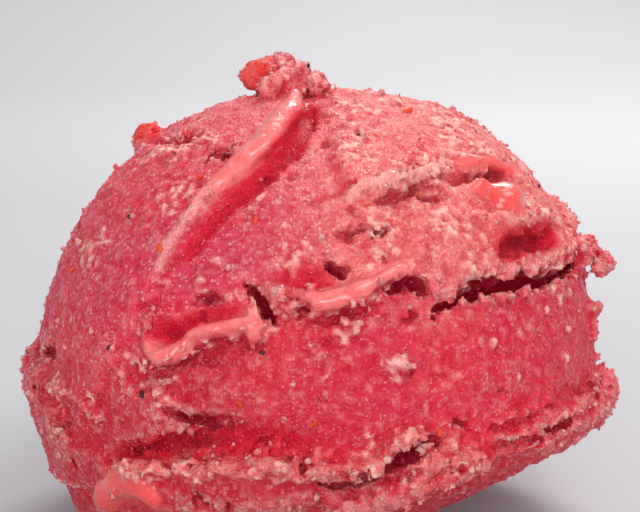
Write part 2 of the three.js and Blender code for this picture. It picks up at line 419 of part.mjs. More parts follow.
function body(p) {
  const ball = p.distanceTo(CENTRE) - BALL.radius;
  const above = p.clone().sub(FOOT_APEX);
  const up = above.dot(FOOT_AXIS);
  const cone = Math.sqrt(above.lengthSq() - up * up) * Math.cos(FOOT_SLOPE) - up * Math.sin(FOOT_SLOPE);
  const bowl = Math.hypot(p.x, p.y, p.z - BOWL.height) - BOWL.radius;
  const [height, strength] = rim.evaluate(radToDeg(Math.atan2(p.x, -p.y)));
  const brim = cut(bowl, height - p.z, 1);
  const { radius, out, drop, fade } = COLLAR;
  const ring = Math.hypot((Math.hypot(p.x, p.y) - radius) / out, (p.z - height + drop) / COLLAR.up) - 1;
  const collar = ring * COLLAR.up + fade * (1 - strength);
  return join(cut(join(ball, brim, 1.2), -cone, 1.2), collar, 0.8);
}

// The shift frays the forms' edges. Little of it points outward, so that the faces stay calm.
function frayed(p) {
  const { size, shift, outward } = RAGGED;
  const [x, y, z] = [p.x / size, p.y / size, p.z / size];
  const moved = new THREE.Vector3(relief(x, y, z), relief(y + 40, z, x), relief(z, x + 40, y));
  const from = p.clone().sub(CENTRE).normalize();
  moved.addScaledVector(from, -(1 - outward) * moved.dot(from));
  return moved.multiplyScalar(shift).add(p);
}

function scoop(place) {
  const p = place.clone();
  p.z += Math.max(p.z - BALL.height, 0) * (1 / BALL.squash - 1);
  const q = frayed(p);
  let value = body(q);
  for (const form of FORMS) value = form(value, q);
  value -= CRAGS.depth * relief(p.x / CRAGS.size, p.y / CRAGS.size, p.z / CRAGS.size);
  value -= CRAGS.fineDepth * relief(p.x / CRAGS.fineSize, p.y / CRAGS.fineSize, p.z / CRAGS.fineSize + 9);
  return Math.max(value, -p.z);
}

// ---- Meshing: each cell of a grid is split into six tetrahedra round one diagonal

const TETRAHEDRA = [[0, 1, 3, 7], [0, 3, 2, 7], [0, 2, 6, 7], [0, 6, 4, 7], [0, 4, 5, 7], [0, 5, 1, 7]];

function meshOf(field) {
  const { step, reach, top } = GRID;
  const wide = Math.ceil(2 * reach / step) + 1;
  const tall = Math.ceil(top / step) + 2;
  const at = (i, j, k) => i + wide * (j + wide * k);
  const corner = (n) => new THREE.Vector3(
    n % wide * step - reach,
    Math.floor(n / wide) % wide * step - reach,
    (Math.floor(n / wide / wide) - 0.5) * step);
  const values = Float64Array.from({ length: wide * wide * tall }, (_, n) => field(corner(n)));
  const places = [];
  const made = new Map();

  // The one vertex where the surface crosses the line between an inner and an outer corner.
  const vertex = (inner, outer) => {
    const key = inner * values.length + outer;
    if (!made.has(key)) {
      const t = values[inner] / (values[inner] - values[outer]);
      made.set(key, places.length);
      places.push(corner(inner).lerp(corner(outer), THREE.MathUtils.clamp(t, 0.02, 0.98)));
    }
    return made.get(key);
  };

  const triangles = [];
  for (let k = 0; k < tall - 1; k++) {
    for (let j = 0; j < wide - 1; j++) {
      for (let i = 0; i < wide - 1; i++) {
        const cell = [0, 1, 2, 3, 4, 5, 6, 7].map((c) => at(i + (c & 1), j + (c >> 1 & 1), k + (c >> 2)));
        if (cell.every((n) => values[n] > 0) || cell.every((n) => values[n] <= 0)) continue;
        for (const tetrahedron of TETRAHEDRA) {
          const corners = tetrahedron.map((c) => cell[c]);
          const inner = corners.filter((n) => values[n] <= 0);
          const outer = corners.filter((n) => values[n] > 0);
          if (!inner.length || !outer.length) continue;
          const faces = inner.length === 2
            ? [[[0, 0], [0, 1], [1, 1]], [[0, 0], [1, 1], [1, 0]]]
            : [inner.length === 1 ? [[0, 0], [0, 1], [0, 2]] : [[0, 0], [1, 0], [2, 0]]];
          for (const face of faces) {
            const [a, b, c] = face.map(([s, t]) => vertex(inner[s], outer[t]));
            triangles.push(facing(places, a, b, c, corner(inner[0]), corner(outer[0])));
          }
        }
      }
    }
  }
  return { places, triangles };
}

// The triangle a, b, c, turned so that it faces from the inner corner towards the outer one.
function facing(places, a, b, c, inner, outer) {
  const across = outer.clone().sub(inner);
  return normalOf(places[a], places[b], places[c]).dot(across) > 0 ? [a, b, c] : [a, c, b];
}

function normalOf(a, b, c) {
  return b.clone().sub(a).cross(c.clone().sub(a));
}

// ---- Thinning: a corner moves onto a neighbour wherever that changes the surface least

// The sum of squared distances from a point to the planes of a corner's triangles is a quadratic
// form, and its ten numbers add up as corners are merged.
function planeForm(a, b, c) {
  const n = normalOf(a, b, c);
  const area = n.length() / 2;
  n.normalize();
  const d = -n.dot(a);
  return [n.x * n.x, n.x * n.y, n.x * n.z, n.x * d, n.y * n.y, n.y * n.z, n.y * d, n.z * n.z, n.z * d, d * d]
    .map((one) => one * area);
}

function formAt(f, { x, y, z }) {
  return x * (f[0] * x + 2 * (f[1] * y + f[2] * z + f[3]))
    + y * (f[4] * y + 2 * (f[5] * z + f[6])) + z * (f[7] * z + 2 * f[8]) + f[9];
}

function thin({ places, triangles }, wanted) {
  const fans = places.map(() => new Set());
  const forms = places.map(() => new Array(10).fill(0));
  triangles.forEach((triangle, n) => {
    const form = planeForm(...triangle.map((v) => places[v]));
    for (const v of triangle) {
      fans[v].add(n);
      form.forEach((one, i) => { forms[v][i] += one; });
    }
  });
  const around = (v) => new Set([...fans[v]].flatMap((n) => triangles[n]).filter((w) => w !== v));

  // Moving v onto w keeps the mesh closed and unfolded when they share two neighbours only, and
  // no triangle of v turns far.
  const allowed = (v, w, ring) => {
    if ([...around(w)].filter((u) => ring.has(u)).length !== 2) return false;
    return [...fans[v]].every((n) => {
      if (triangles[n].includes(w)) return true;
      const before = triangles[n].map((u) => places[u]);
      const after = triangles[n].map((u) => places[u === v ? w : u]);
      const [old, turned] = [normalOf(...before), normalOf(...after)];
      return old.dot(turned) > LEAST_TURN * old.length() * turned.length() && turned.length() > LEAST_AREA;
    });
  };

  let left = triangles.length;
  for (let limit = FIRST_LIMIT; left > wanted; limit *= 1.4) {
    for (let v = 0; v < places.length && left > wanted; v++) {
      const ring = around(v);
      let [best, cost] = [-1, limit];
      for (const w of ring) {
        const rise = formAt(forms[v], places[w]) + LENGTH_COST * places[v].distanceToSquared(places[w]);
        if (rise < cost && allowed(v, w, ring)) [best, cost] = [w, rise];
      }
      if (best < 0) continue;
      for (const n of fans[v]) {
        if (triangles[n].includes(best)) {
          triangles[n].forEach((u) => { if (u !== v) fans[u].delete(n); });
          triangles[n] = null;
          left -= 1;
        } else {
          triangles[n] = triangles[n].map((u) => (u === v ? best : u));
          fans[best].add(n);
        }
      }
      forms[v].forEach((one, i) => { forms[best][i] += one; });
      fans[v].clear();
    }
  }
  return triangles.filter(Boolean);
}

// ---- The part

const NEAR = { inner: 17, outer: 37 }; // beyond these distances from the centre the field is known
const nearSurface = (p) => {
  const from = p.distanceTo(CENTRE);
  if (from > NEAR.outer) return 1;
  if (from < NEAR.inner && p.z > 0) return p.z > GRID.step ? -1 : -p.z;
  return scoop(p);
};

const fine = meshOf(nearSurface);
const faces = thin(fine, TRIANGLES);
const kept = [...new Set(faces.flat())];
const order = new Map(kept.map((v, i) => [v, i]));
const geometry = new THREE.BufferGeometry().setFromPoints(kept.map((v) => fine.places[v]));
geometry.setIndex(faces.flat().map((v) => order.get(v)));
geometry.computeVertexNormals();

const iceCream = new THREE.MeshStandardMaterial({ color: 0xd75a6b, roughness: 0.55, metalness: 0 });
const mesh = new THREE.Mesh(geometry, iceCream);
mesh.name = 'scoop';

const part = new THREE.Group();
part.name = 'scoop_of_ice_cream';
part.add(mesh);

export default part;
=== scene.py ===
# %% [markdown]
# # A scoop of berry ice cream
#
# A scoop is not a ball with a rough texture. The dipper's rim shaves sheets off the tub and rolls
# them up, so the ball is made of overlapping sheets, with torn lips, a crack where two sheets
# don't meet, wet rolls where the surface melts, and ice grains on every dry edge. All of that is
# relief that throws shadows, so it is modelled as real shape, and the material only adds the
# finest grain, the colour and the gloss.
#
# The frame that is loaded here holds the scoop as one plain solid, in metres, with its flat foot
# at height zero. Everything below is fitted to it.

# %% The frame
import itertools
import math
import time

import bmesh
import bpy
import numpy as np
import openvdb
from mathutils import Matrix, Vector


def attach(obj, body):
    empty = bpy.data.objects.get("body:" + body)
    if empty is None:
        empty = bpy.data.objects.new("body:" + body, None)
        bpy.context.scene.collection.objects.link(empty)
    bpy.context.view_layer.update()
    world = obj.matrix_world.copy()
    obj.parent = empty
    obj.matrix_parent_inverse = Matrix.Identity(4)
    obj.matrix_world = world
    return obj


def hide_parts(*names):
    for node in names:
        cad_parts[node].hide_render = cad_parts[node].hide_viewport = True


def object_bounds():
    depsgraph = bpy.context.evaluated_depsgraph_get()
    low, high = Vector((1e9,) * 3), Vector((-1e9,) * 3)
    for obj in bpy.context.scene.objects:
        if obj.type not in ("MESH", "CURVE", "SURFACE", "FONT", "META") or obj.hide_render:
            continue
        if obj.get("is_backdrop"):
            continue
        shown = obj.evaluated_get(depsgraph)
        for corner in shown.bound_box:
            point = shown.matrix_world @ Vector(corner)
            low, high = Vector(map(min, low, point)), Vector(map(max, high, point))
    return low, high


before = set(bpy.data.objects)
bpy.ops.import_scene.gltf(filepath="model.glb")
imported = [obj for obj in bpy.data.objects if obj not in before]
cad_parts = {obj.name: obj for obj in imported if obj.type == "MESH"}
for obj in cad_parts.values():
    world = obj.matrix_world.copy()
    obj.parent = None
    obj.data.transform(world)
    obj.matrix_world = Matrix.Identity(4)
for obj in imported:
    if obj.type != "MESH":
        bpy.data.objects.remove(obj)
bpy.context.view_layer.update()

# %% [markdown]
# ## The camera
#
# The picture is taken from a little above, close up, with a long lens. The ball's centre lies
# below the middle of the picture, so the camera looks over it: it is aimed at the ball's centre
# first and then turned up and aside by the angle that the centre's place in the picture gives.

# %% The camera
MM = 0.001
PICTURE_WIDE, PICTURE_HIGH = 640, 512
BALL_HEIGHT = 18.7
BALL_AT = (327, 353)  # the ball's centre in the picture, in pixels
SEEN_FROM_UP = 16  # degrees
CAMERA_AWAY, NEAREST_SEEN = 194.0, 10.0
LENS, SENSOR = 100.0, 36.0


def make_camera():
    data = bpy.data.cameras.new("camera")
    data.lens = LENS
    data.sensor_width = SENSOR
    data.clip_start = NEAREST_SEEN * MM
    pixels = LENS / SENSOR * PICTURE_WIDE
    tip = math.radians(SEEN_FROM_UP)
    up = math.atan((BALL_AT[1] - PICTURE_HIGH / 2) / pixels)
    aside = math.atan((BALL_AT[0] - PICTURE_WIDE / 2) / pixels)
    camera = bpy.data.objects.new("camera", data)
    bpy.context.collection.objects.link(camera)
    height = BALL_HEIGHT + CAMERA_AWAY * math.sin(tip)
    camera.location = (0, -CAMERA_AWAY * math.cos(tip) * MM, height * MM)
    camera.rotation_euler = (math.pi / 2 - tip + up, 0, aside)
    bpy.context.scene.camera = camera
    print("camera", round(math.degrees(up), 2), "degrees up from the ball's centre")


make_camera()

# %% [markdown]
# ## Drawing on a ball
#
# Every form is drawn as it is seen from one side: so many millimetres across and up from the
# ball's centre. A side has a right, an up and a direction towards the eye, and a drawn point is
# carried back along that direction until it meets the ball. The front is drawn from the
# picture, and the other sides in the same manner.

# %% Sides, and ways from the ball's centre
BALL_RADIUS = 29.0
DRAWN_RADIUS = 29.5  # most drawn forms stand a little above the ball
SQUASH = 0.943  # the ball is pressed flatter above its centre
SQUASH_ROUNDS = 4  # how often a drawn point is set right for that
ON_SKYLINE = 0.998 * DRAWN_RADIUS  # how far out a drawn point may lie
CENTRE = np.array([0.0, 0.0, BALL_HEIGHT])
DRAWN_ASIDE = -1.1  # the front is drawn round a point this far from the ball's centre
TINY = 1e-9


def unit(v):
    return v / np.maximum(np.linalg.norm(v, axis=-1, keepdims=True), TINY)


def side(azimuth, elevation, aside=0.0):
    """A side's right, up and forward ways, and how far the drawing's origin lies aside of the centre."""
    turn, tip = math.radians(azimuth), math.radians(elevation)
    toward = (math.cos(tip) * math.sin(turn), -math.cos(tip) * math.cos(turn), math.sin(tip))
    right = (math.cos(turn), math.sin(turn), 0.0)
    return np.array([right, np.cross(toward, right), toward]), aside


FRONT = side(0, SEEN_FROM_UP, DRAWN_ASIDE)
RIGHT, BACK, LEFT = (side(azimuth, SEEN_FROM_UP) for azimuth in (90, 180, 270))


def ways(seen, points):
    """The ways from the ball's centre to points that a side's drawing has at (across, up).

    Pressing the ball flatter lowers what is drawn on its upper half, so that is drawn higher."""
    axes, aside = seen
    drawn = np.array(points, float).reshape(-1, 2) + (aside, 0)
    flat = drawn.copy()
    for _ in range(SQUASH_ROUNDS):
        out = np.maximum(np.linalg.norm(flat, axis=1, keepdims=True), TINY)
        flat = flat * np.minimum(1, ON_SKYLINE / out)
        deep = np.sqrt(DRAWN_RADIUS**2 - (flat**2).sum(axis=1, keepdims=True))
        there = np.hstack([flat, deep]) @ axes
        flat[:, 1] = drawn[:, 1] + (1 - SQUASH) * np.maximum(there[:, 2], 0) * axes[1, 2]
    return unit(there)


def on_ball(way, lift):
    return CENTRE + way * (BALL_RADIUS + lift)


print("the top of the front lies at", on_ball(ways(FRONT, [0, 28])[0], 0).round(1))

# %% [markdown]
# ## Shaping with a field
#
# Torn lips that hang over hollows can't be pushed out of a sphere's own faces: the faces would
# stretch and fold. A field does it easily. It gives each point of space its distance from the
# surface, negative inside. Two forms join where the smaller distance wins, and one cuts another
# where the larger wins; a small fillet between them gives the soft edges of packed ice cream.

# %% Joining and cutting


def mix(a, b, t):
    return a + (b - a) * t


def smooth(low, high, x):
    t = np.clip((x - low) / (high - low), 0, 1)
    return t * t * (3 - 2 * t)


def join(a, b, fillet):
    near = np.maximum(fillet - np.abs(a - b), 0)
    return np.minimum(a, b) - near * near / (4 * fillet)


def cut(a, b, fillet):
    return -join(-a, b, fillet)


# %% [markdown]
# ## Random relief
#
# Two kinds of noise are needed. Smooth relief gives gentle crags and frays the edges. Grain is
# rounded lumps packed side by side, as ice crystals and crumbs are, with sharp valleys between
# them: it is the distance to the nearest of many scattered points.

# %% Smooth relief and grain
MIX_X, MIX_Y, MIX_Z, MIX_ALL = 127.1, 311.7, 74.7, 43758.5453
REMIX = 997.17
NOTHING_NEAR = 9.0
LUMP_FALL = 1.6  # how steeply a packed lump falls away from its middle


def hashed(x, y, z):
    """A number from 0 to 1 that looks random, but is always the same for the same place."""
    wave = np.sin(x * MIX_X + y * MIX_Y + z * MIX_Z) * MIX_ALL
    return wave - np.floor(wave)


def relief(x, y, z):
    """Smooth noise from -1 to 1, one bump to a unit."""
    i, j, k = np.floor(x), np.floor(y), np.floor(z)
    a, b, c = (smooth(0, 1, t) for t in (x - i, y - j, z - k))

    def edge(dj, dk):
        return mix(hashed(i, j + dj, k + dk), hashed(i + 1, j + dj, k + dk), a)

    return 2 * mix(mix(edge(0, 0), edge(1, 0), b), mix(edge(0, 1), edge(1, 1), b), c) - 1


def relief_at(points, size, shift=0.0):
    x, y, z = (points / size).T
    return relief(x, y, z + shift)


def packed(points, size, share=1.0):
    """Packed lumps: near 1 in the middle of a lump, falling to 0 and below between lumps.

    A share below 1 leaves out all but so many of them. Each lump also has three numbers of its
    own from 0 to 1, to shift and colour it as a whole."""
    scaled = points / size
    cell = np.floor(scaled)
    nearest = np.full(len(points), NOTHING_NEAR)
    own = np.zeros((len(points), 3))
    for neighbour in itertools.product((-1, 0, 1), repeat=3):
        i, j, k = (cell + neighbour).T
        first = hashed(i, j, k)
        second = np.modf(first * REMIX)[0]
        third = np.modf(second * REMIX)[0]
        away = (i + first - scaled[:, 0]) ** 2 + (j + second - scaled[:, 1]) ** 2
        away += (k + third - scaled[:, 2]) ** 2
        if share < 1:
            away[np.modf(third * REMIX)[0] > share] = NOTHING_NEAR
        closer = away < nearest
        nearest[closer] = away[closer]
        own[closer] = np.stack([first, second, third], axis=1)[closer]
    return 1 - LUMP_FALL * np.sqrt(nearest), own


print("relief spans", np.ptp(relief_at(np.random.default_rng(1).random((999, 3)) * 50, 1.0)).round(2))

# %% [markdown]
# ## Strokes, lumps and sheets
#
# Three forms are enough. A stroke follows a route and has an elliptic section, like a roll of
# ice cream or a knife's cut. A lump is an ellipsoid. A sheet raises all that lies inside an
# outline. Strokes and lumps know how far any point is from them, so the same forms can later
# say where the ice cream is wet.
#
# A stroke that is joined on is a roll, and one that is cut out is a groove. In the same way a
# lump is a mound or a pit.

# %% The forms
FORM_MARGIN = 2.2  # how far a form's fillet may reach
STROKE_STEP = 1.2


class Form:
    """A stroke or a lump, joined to the scoop or cut from it."""

    def __init__(self, how, hub, reach, distance, fillet):
        self.how, self.hub, self.reach, self.distance, self.fillet = how, hub, reach, distance, fillet

    def near(self, points, margin):
        return np.flatnonzero(((points - self.hub) ** 2).sum(axis=1) < (self.reach + margin) ** 2)

    def lay(self, value, points):
        close = self.near(points, FORM_MARGIN)
        value[close] = self.how(value[close], self.distance(points[close]), self.fillet)

    def within(self, points, edge):
        """1 on and inside the form, falling to 0 at a distance of edge."""
        found = np.zeros(len(points))
        close = self.near(points, edge)
        found[close] = smooth(edge, 0, self.distance(points[close]))
        return found


def curve_through(points, spans_each=12):
    """A centripetal Catmull-Rom curve through points, as close steps."""
    ends = np.vstack([2 * points[0] - points[1], points, 2 * points[-1] - points[-2]])
    steps = []
    for p0, p1, p2, p3 in zip(ends, ends[1:], ends[2:], ends[3:]):
        t0 = 0.0
        t1 = t0 + np.linalg.norm(p1 - p0) ** 0.5
        t2 = t1 + np.linalg.norm(p2 - p1) ** 0.5
        t3 = t2 + np.linalg.norm(p3 - p2) ** 0.5
        t = np.linspace(t1, t2, spans_each, endpoint=False)[:, None]
        a1 = (t1 - t) / (t1 - t0) * p0 + (t - t0) / (t1 - t0) * p1
        a2 = (t2 - t) / (t2 - t1) * p1 + (t - t1) / (t2 - t1) * p2
        a3 = (t3 - t) / (t3 - t2) * p2 + (t - t2) / (t3 - t2) * p3
        b1 = (t2 - t) / (t2 - t0) * a1 + (t - t0) / (t2 - t0) * a2
        b2 = (t3 - t) / (t3 - t1) * a2 + (t - t1) / (t3 - t1) * a3
        steps.append((t2 - t) / (t2 - t1) * b1 + (t - t1) / (t2 - t1) * b2)
    return np.vstack([*steps, points[-1:]])


def spaced(line, step):
    """Points at even distances along a line."""
    along = np.concatenate([[0], np.cumsum(np.linalg.norm(np.diff(line, axis=0), axis=1))])
    count = max(2, math.ceil(along[-1] / step))
    marks = np.linspace(0, along[-1], count + 1)
    return np.stack([np.interp(marks, along, line[:, i]) for i in range(3)], axis=1)


def stroke(how, route, lift=0.0, wide=1.0, thick=1.0, lean=0.0, ends=0.5, taper=(1, 1), fillet=0.6):
    """A stroke along a route. lift may be one height or one for each point of the route."""
    points = spaced(curve_through(on_ball(route, np.reshape(lift, (-1, 1)))), STROKE_STEP)
    spans = len(points) - 1
    size = mix(ends, 1, np.sqrt(1 - (2 * np.arange(spans + 1) / spans - 1) ** 2))
    size *= np.linspace(*taper, spans + 1)
    hub = points[len(points) // 2]
    reach = np.linalg.norm(points - hub, axis=1).max() + max(wide, thick) * size.max()
    cos, sin = math.cos(math.radians(lean)), math.sin(math.radians(lean))

    def distance(p):
        best = np.full(len(p), np.inf)
        for a, b, small, large in zip(points, points[1:], size, size[1:]):
            length = np.linalg.norm(b - a)
            along = (b - a) / length
            out_way = unit(a - CENTRE)
            aside_way = unit(np.cross(out_way, along))
            d = p - a
            t = np.clip(d @ along / length, 0, 1)
            out, aside, on = d @ out_way, d @ aside_way, d @ along - t * length
            tall, flat = out * cos + aside * sin, aside * cos - out * sin
            off = np.sqrt((tall / thick) ** 2 + (flat / wide) ** 2 + (on / wide) ** 2)
            best = np.minimum(best, (off - mix(small, large, t)) * min(wide, thick))
        return best

    return Form(how, hub, reach, distance, fillet)


def lump(how, way, lift=0.0, across=1.0, along=1.0, out=1.0, fillet=0.6):
    way = np.reshape(way, 3)
    hub = on_ball(way, lift)
    sideways = unit(np.array([-way[1], way[0], 0.0]))
    axes = np.array([sideways / across, np.cross(way, sideways) / along, way / out])

    def distance(p):
        return (np.linalg.norm((p - hub) @ axes.T, axis=1) - 1) * min(across, along, out)

    return Form(how, hub, max(across, along, out), distance, fillet)


class Sheet:
    """A raised sheet inside a ring of ways, thinning out to nothing between two heights."""

    def __init__(self, ring, lift, bevel=0.7, fade=(-2, -1)):
        self.pole = unit(ring.sum(axis=0))
        self.across = unit(np.array([-self.pole[1], self.pole[0] + TINY, 0.0]))
        self.along = np.cross(self.pole, self.across)
        self.ring = self.spread(ring)
        self.lift, self.bevel, self.fade = lift, bevel, fade

    def spread(self, ways_out):
        """Each way as a place on a flat map round the pole, at its true distance from it."""
        out = np.arccos(np.clip(ways_out @ self.pole, -1, 1)) * BALL_RADIUS
        flat = np.stack([ways_out @ self.across, ways_out @ self.along], axis=1)
        return flat * (out / np.maximum(np.linalg.norm(flat, axis=1), TINY))[:, None]

    def inside(self, points):
        """How far inside the outline each point is, negative outside."""
        places = self.spread(unit(points - CENTRE))
        a, b = places.T
        nearest = np.full(len(points), np.inf)
        within = np.zeros(len(points), bool)
        for (ai, bi), (aj, bj) in zip(self.ring, np.roll(self.ring, 1, axis=0)):
            span = (aj - ai) ** 2 + (bj - bi) ** 2
            t = np.clip(((a - ai) * (aj - ai) + (b - bi) * (bj - bi)) / span, 0, 1)
            nearest = np.minimum(nearest, (a - ai - t * (aj - ai)) ** 2 + (b - bi - t * (bj - bi)) ** 2)
            if bi != bj:
                crossed = ((bi > b) != (bj > b)) & (a < ai + (b - bi) * (aj - ai) / (bj - bi))
                within ^= crossed
        return np.where(within, 1, -1) * np.sqrt(nearest)

    def lay(self, value, points):
        height = smooth(self.fade[0], self.fade[1], points[:, 2])
        value -= self.lift * height * smooth(-self.bevel, self.bevel, self.inside(points))


def roll(seen, places, **shape):
    return stroke(join, ways(seen, places), **shape)


def groove(seen, places, **shape):
    return stroke(cut, ways(seen, places), **shape)


def mound(seen, place, **shape):
    return lump(join, ways(seen, place), **shape)


def pit(seen, place, **shape):
    return lump(cut, ways(seen, place), **shape)


def crumbs(seen, places, count, size, spread, seed):
    """Crumbs of mixed sizes, scattered round drawn places and half sunk in."""
    dice = np.random.default_rng(seed)
    route = ways(seen, places)
    made = []
    for i in range(count):
        way = unit(route[i % len(route)] + dice.uniform(-1, 1, 3) * spread / BALL_RADIUS)
        r = size * dice.uniform(0.6, 1.2)
        made.append(lump(join, way, lift=r * 0.4, across=r * 1.2, along=r, out=r, fillet=0.4))
    return made


# %% [markdown]
# ## The three sheets
#
# The cap is the upper sheet, whose torn edge hangs over the smooth band in front and runs on
# round the scoop. The dome on the left and the crown on the right lie on it, and the ridge
# between them is the dome's rolled edge.

# %% Sheets
CAP_EDGE = np.vstack([
    ways(FRONT, [(-12, -9.8), (-8.6, -8.4), (-10.2, -6.2), (-14.4, -4.4), (-17.8, -2.6), (-17.4, -0.8),
                 (-14.4, -1), (-12.2, -0.2), (-10.9, 1), (-7.2, 1.4), (-5, 1.7), (-4.4, 4), (-3.4, 4.4),
                 (-1.6, 4.1), (0.3, 3.8), (3.1, 4.6), (5.9, 5.7), (7.2, 6.6), (9.3, 7.3), (10.6, 6),
                 (12.4, 5.3), (14.3, 6.4), (16.2, 7), (18.5, 7.6), (21.4, 8), (25, 8.9)]),
    ways(RIGHT, [(-5, 5.2), (1, 4.6), (7, 6.4), (13, 5.2), (18, 2.4)]),
    ways(BACK, [(-20, 3.4), (-15, 5.6), (-9.5, 4.8), (-4, 7.6), (3, 6.6), (8, 3.2), (13, -0.6),
                (17, -6), (16, -12)]),
    ways(LEFT, [(-14, -17), (-4, -18), (6, -18), (16, -16)]),
])
DOME_EDGE = np.vstack([
    ways(FRONT, [(-2, 26.5), (-3.4, 22.3), (-5.6, 18.8), (-9, 15.6), (-11.5, 12.8), (-13.5, 9.6),
                 (-15.4, 6), (-17.4, 2.2), (-20, -3), (-23, -9)]),
    ways(LEFT, [(8, -15), (-6, -14)]),
    ways(BACK, [(21, -8), (18.5, 0), (19, 7), (14, 12), (12, 17), (7, 20), (4, 25)]),
])
CROWN_EDGE = np.vstack([
    ways(FRONT, [(0.8, 24), (1.6, 19), (3.4, 15.6), (6.5, 16.6), (8.5, 17.7), (12.6, 18.9), (15.8, 18.7),
                 (19.2, 18.4), (21.6, 16.6)]),
    ways(RIGHT, [(-3, 13.5), (5, 11.8), (12, 14)]),
    ways(BACK, [(-19, 13), (-12, 12), (-8, 16), (-2, 17.5), (0, 23)]),
])
CAP = Sheet(CAP_EDGE, lift=0.9)
DOME = Sheet(DOME_EDGE, lift=0.9, fade=(6, 24))
CROWN = Sheet(CROWN_EDGE, lift=0.6)
SHEETS = [CAP, DOME, CROWN]
print("the cap's edge turns through", len(CAP_EDGE), "points")

# %% [markdown]
# ## The front's rolls, lips and cracks
#
# These are the forms that the picture shows, from the top down: the knob and the long ridge, the
# crests and the bay with its hanging drop, the two flaps, the crack under its ragged lip, and
# the collar that the dipper's rim left. The wet ones, the smooth ones, the pale ones and the
# hollows that get painted shade in deep red get names, because the grain and the colour treat
# them in ways of their own.

# %% The knob, the ridge and the dome's crests
RIDGE = roll(FRONT, [(-2, 25.4), (-2.7, 23.8), (-3.6, 22.1), (-4.6, 20.5), (-5.7, 19), (-6.7, 17.9),
                     (-7.7, 17), (-8.8, 16)],
             lift=1.5, wide=1.5, thick=1.3, ends=0.6, taper=(1.1, 0.7), fillet=0.4)
RIDGE_END = roll(FRONT, [(-8.4, 16.7), (-9.7, 15.3), (-11, 13.8), (-12, 12.5), (-12.8, 11.4),
                         (-13.5, 10.3), (-14.1, 9), (-14.5, 7.9)],
                 lift=1.15, wide=0.5, thick=0.8, ends=0.7, taper=(1.3, 0.8), fillet=0.5)
VALLEY = groove(FRONT, [(-0.6, 24.9), (-1.3, 22.5), (-2.4, 20.2), (-3.9, 18.1), (-5.8, 16.3),
                        (-7.6, 14.7), (-9.2, 13.2), (-10.9, 10.9), (-12.2, 9)],
                lift=0.9, wide=1.3, thick=1.3, taper=(1.1, 0.6), fillet=0.6)
KNOB_LEFT = mound(FRONT, (-5.2, 27), lift=3.6, across=2.5, along=2.2, out=2.0, fillet=0.5)
NUB = mound(FRONT, (-17.6, 22.1), lift=2.1, across=1.6, along=1.6, out=2.3, fillet=0.8)
TOP_FORMS = [
    # the valley on the ridge's right, the ridge, and the hole on its left under a ragged lip
    VALLEY,
    RIDGE,
    RIDGE_END,
    roll(FRONT, [(-12.2, 19), (-11, 19.4), (-9.7, 19.6), (-8.1, 19.3)], lift=1.2, wide=0.6, thick=0.8),
    groove(FRONT, [(-10.6, 17.8), (-9.9, 18.3), (-9.1, 18.9), (-8, 19.7)],
           lift=0.9, wide=1.15, thick=3.4, taper=(0.7, 1.2), fillet=0.2),
    # the knob: an overhanging left lobe, a strip of crumb and a right lobe
    groove(FRONT, [(-8.6, 27.2), (-6.6, 26.6), (-4.8, 26)], lift=1.1, wide=0.8, thick=1.2),
    mound(FRONT, (-3.1, 26.7), lift=1.4, across=3, along=2.4, out=2.4),
    KNOB_LEFT,
    mound(FRONT, (-3.4, 27.4), lift=4.1, across=2, along=1.8, out=1.7, fillet=0.4),
    roll(FRONT, [(-2.6, 27.6), (-2.8, 26.8), (-4.2, 25.8), (-5, 25.2)],
         lift=(3.6, 3.2, 2.6, 2), wide=1, thick=1.1, ends=0.7, fillet=0.4),
    mound(FRONT, (-1.6, 27.2), lift=3.4, across=1.5, along=1.7, out=1.5, fillet=0.4),
    mound(FRONT, (0.2, 26.6), lift=2.4, across=1.3, along=1.9, out=1.5, fillet=0.4),
    pit(FRONT, (-1.3, 26.2), lift=2.6, across=0.7, along=0.9, out=1.1, fillet=0.3),
    *crumbs(FRONT, [(-3, 29), (-3.2, 27.4), (-1.6, 28.4), (0.2, 27.6), (-0.5, 26.6)],
            12, 0.45, 0.8, seed=2),
    # the ragged crests of the dome's far edge, and the nub on the skyline
    roll(FRONT, [(-17.2, 20.9), (-14.7, 19.6), (-12.4, 19), (-10.8, 19.6)], lift=1.2, wide=0.6, thick=0.7),
    groove(FRONT, [(-16.6, 21.6), (-13.6, 20.8), (-11.4, 21.3)], lift=1.7, wide=0.7, thick=0.8),
    roll(FRONT, [(-18, 21.6), (-15.4, 22.9), (-12, 24.2), (-8.4, 25.6)], lift=0.9, wide=1.2, thick=1.2),
    mound(FRONT, (-17.6, 21.8), lift=0.6, across=2.5, along=2, out=1.8),
    NUB,
]

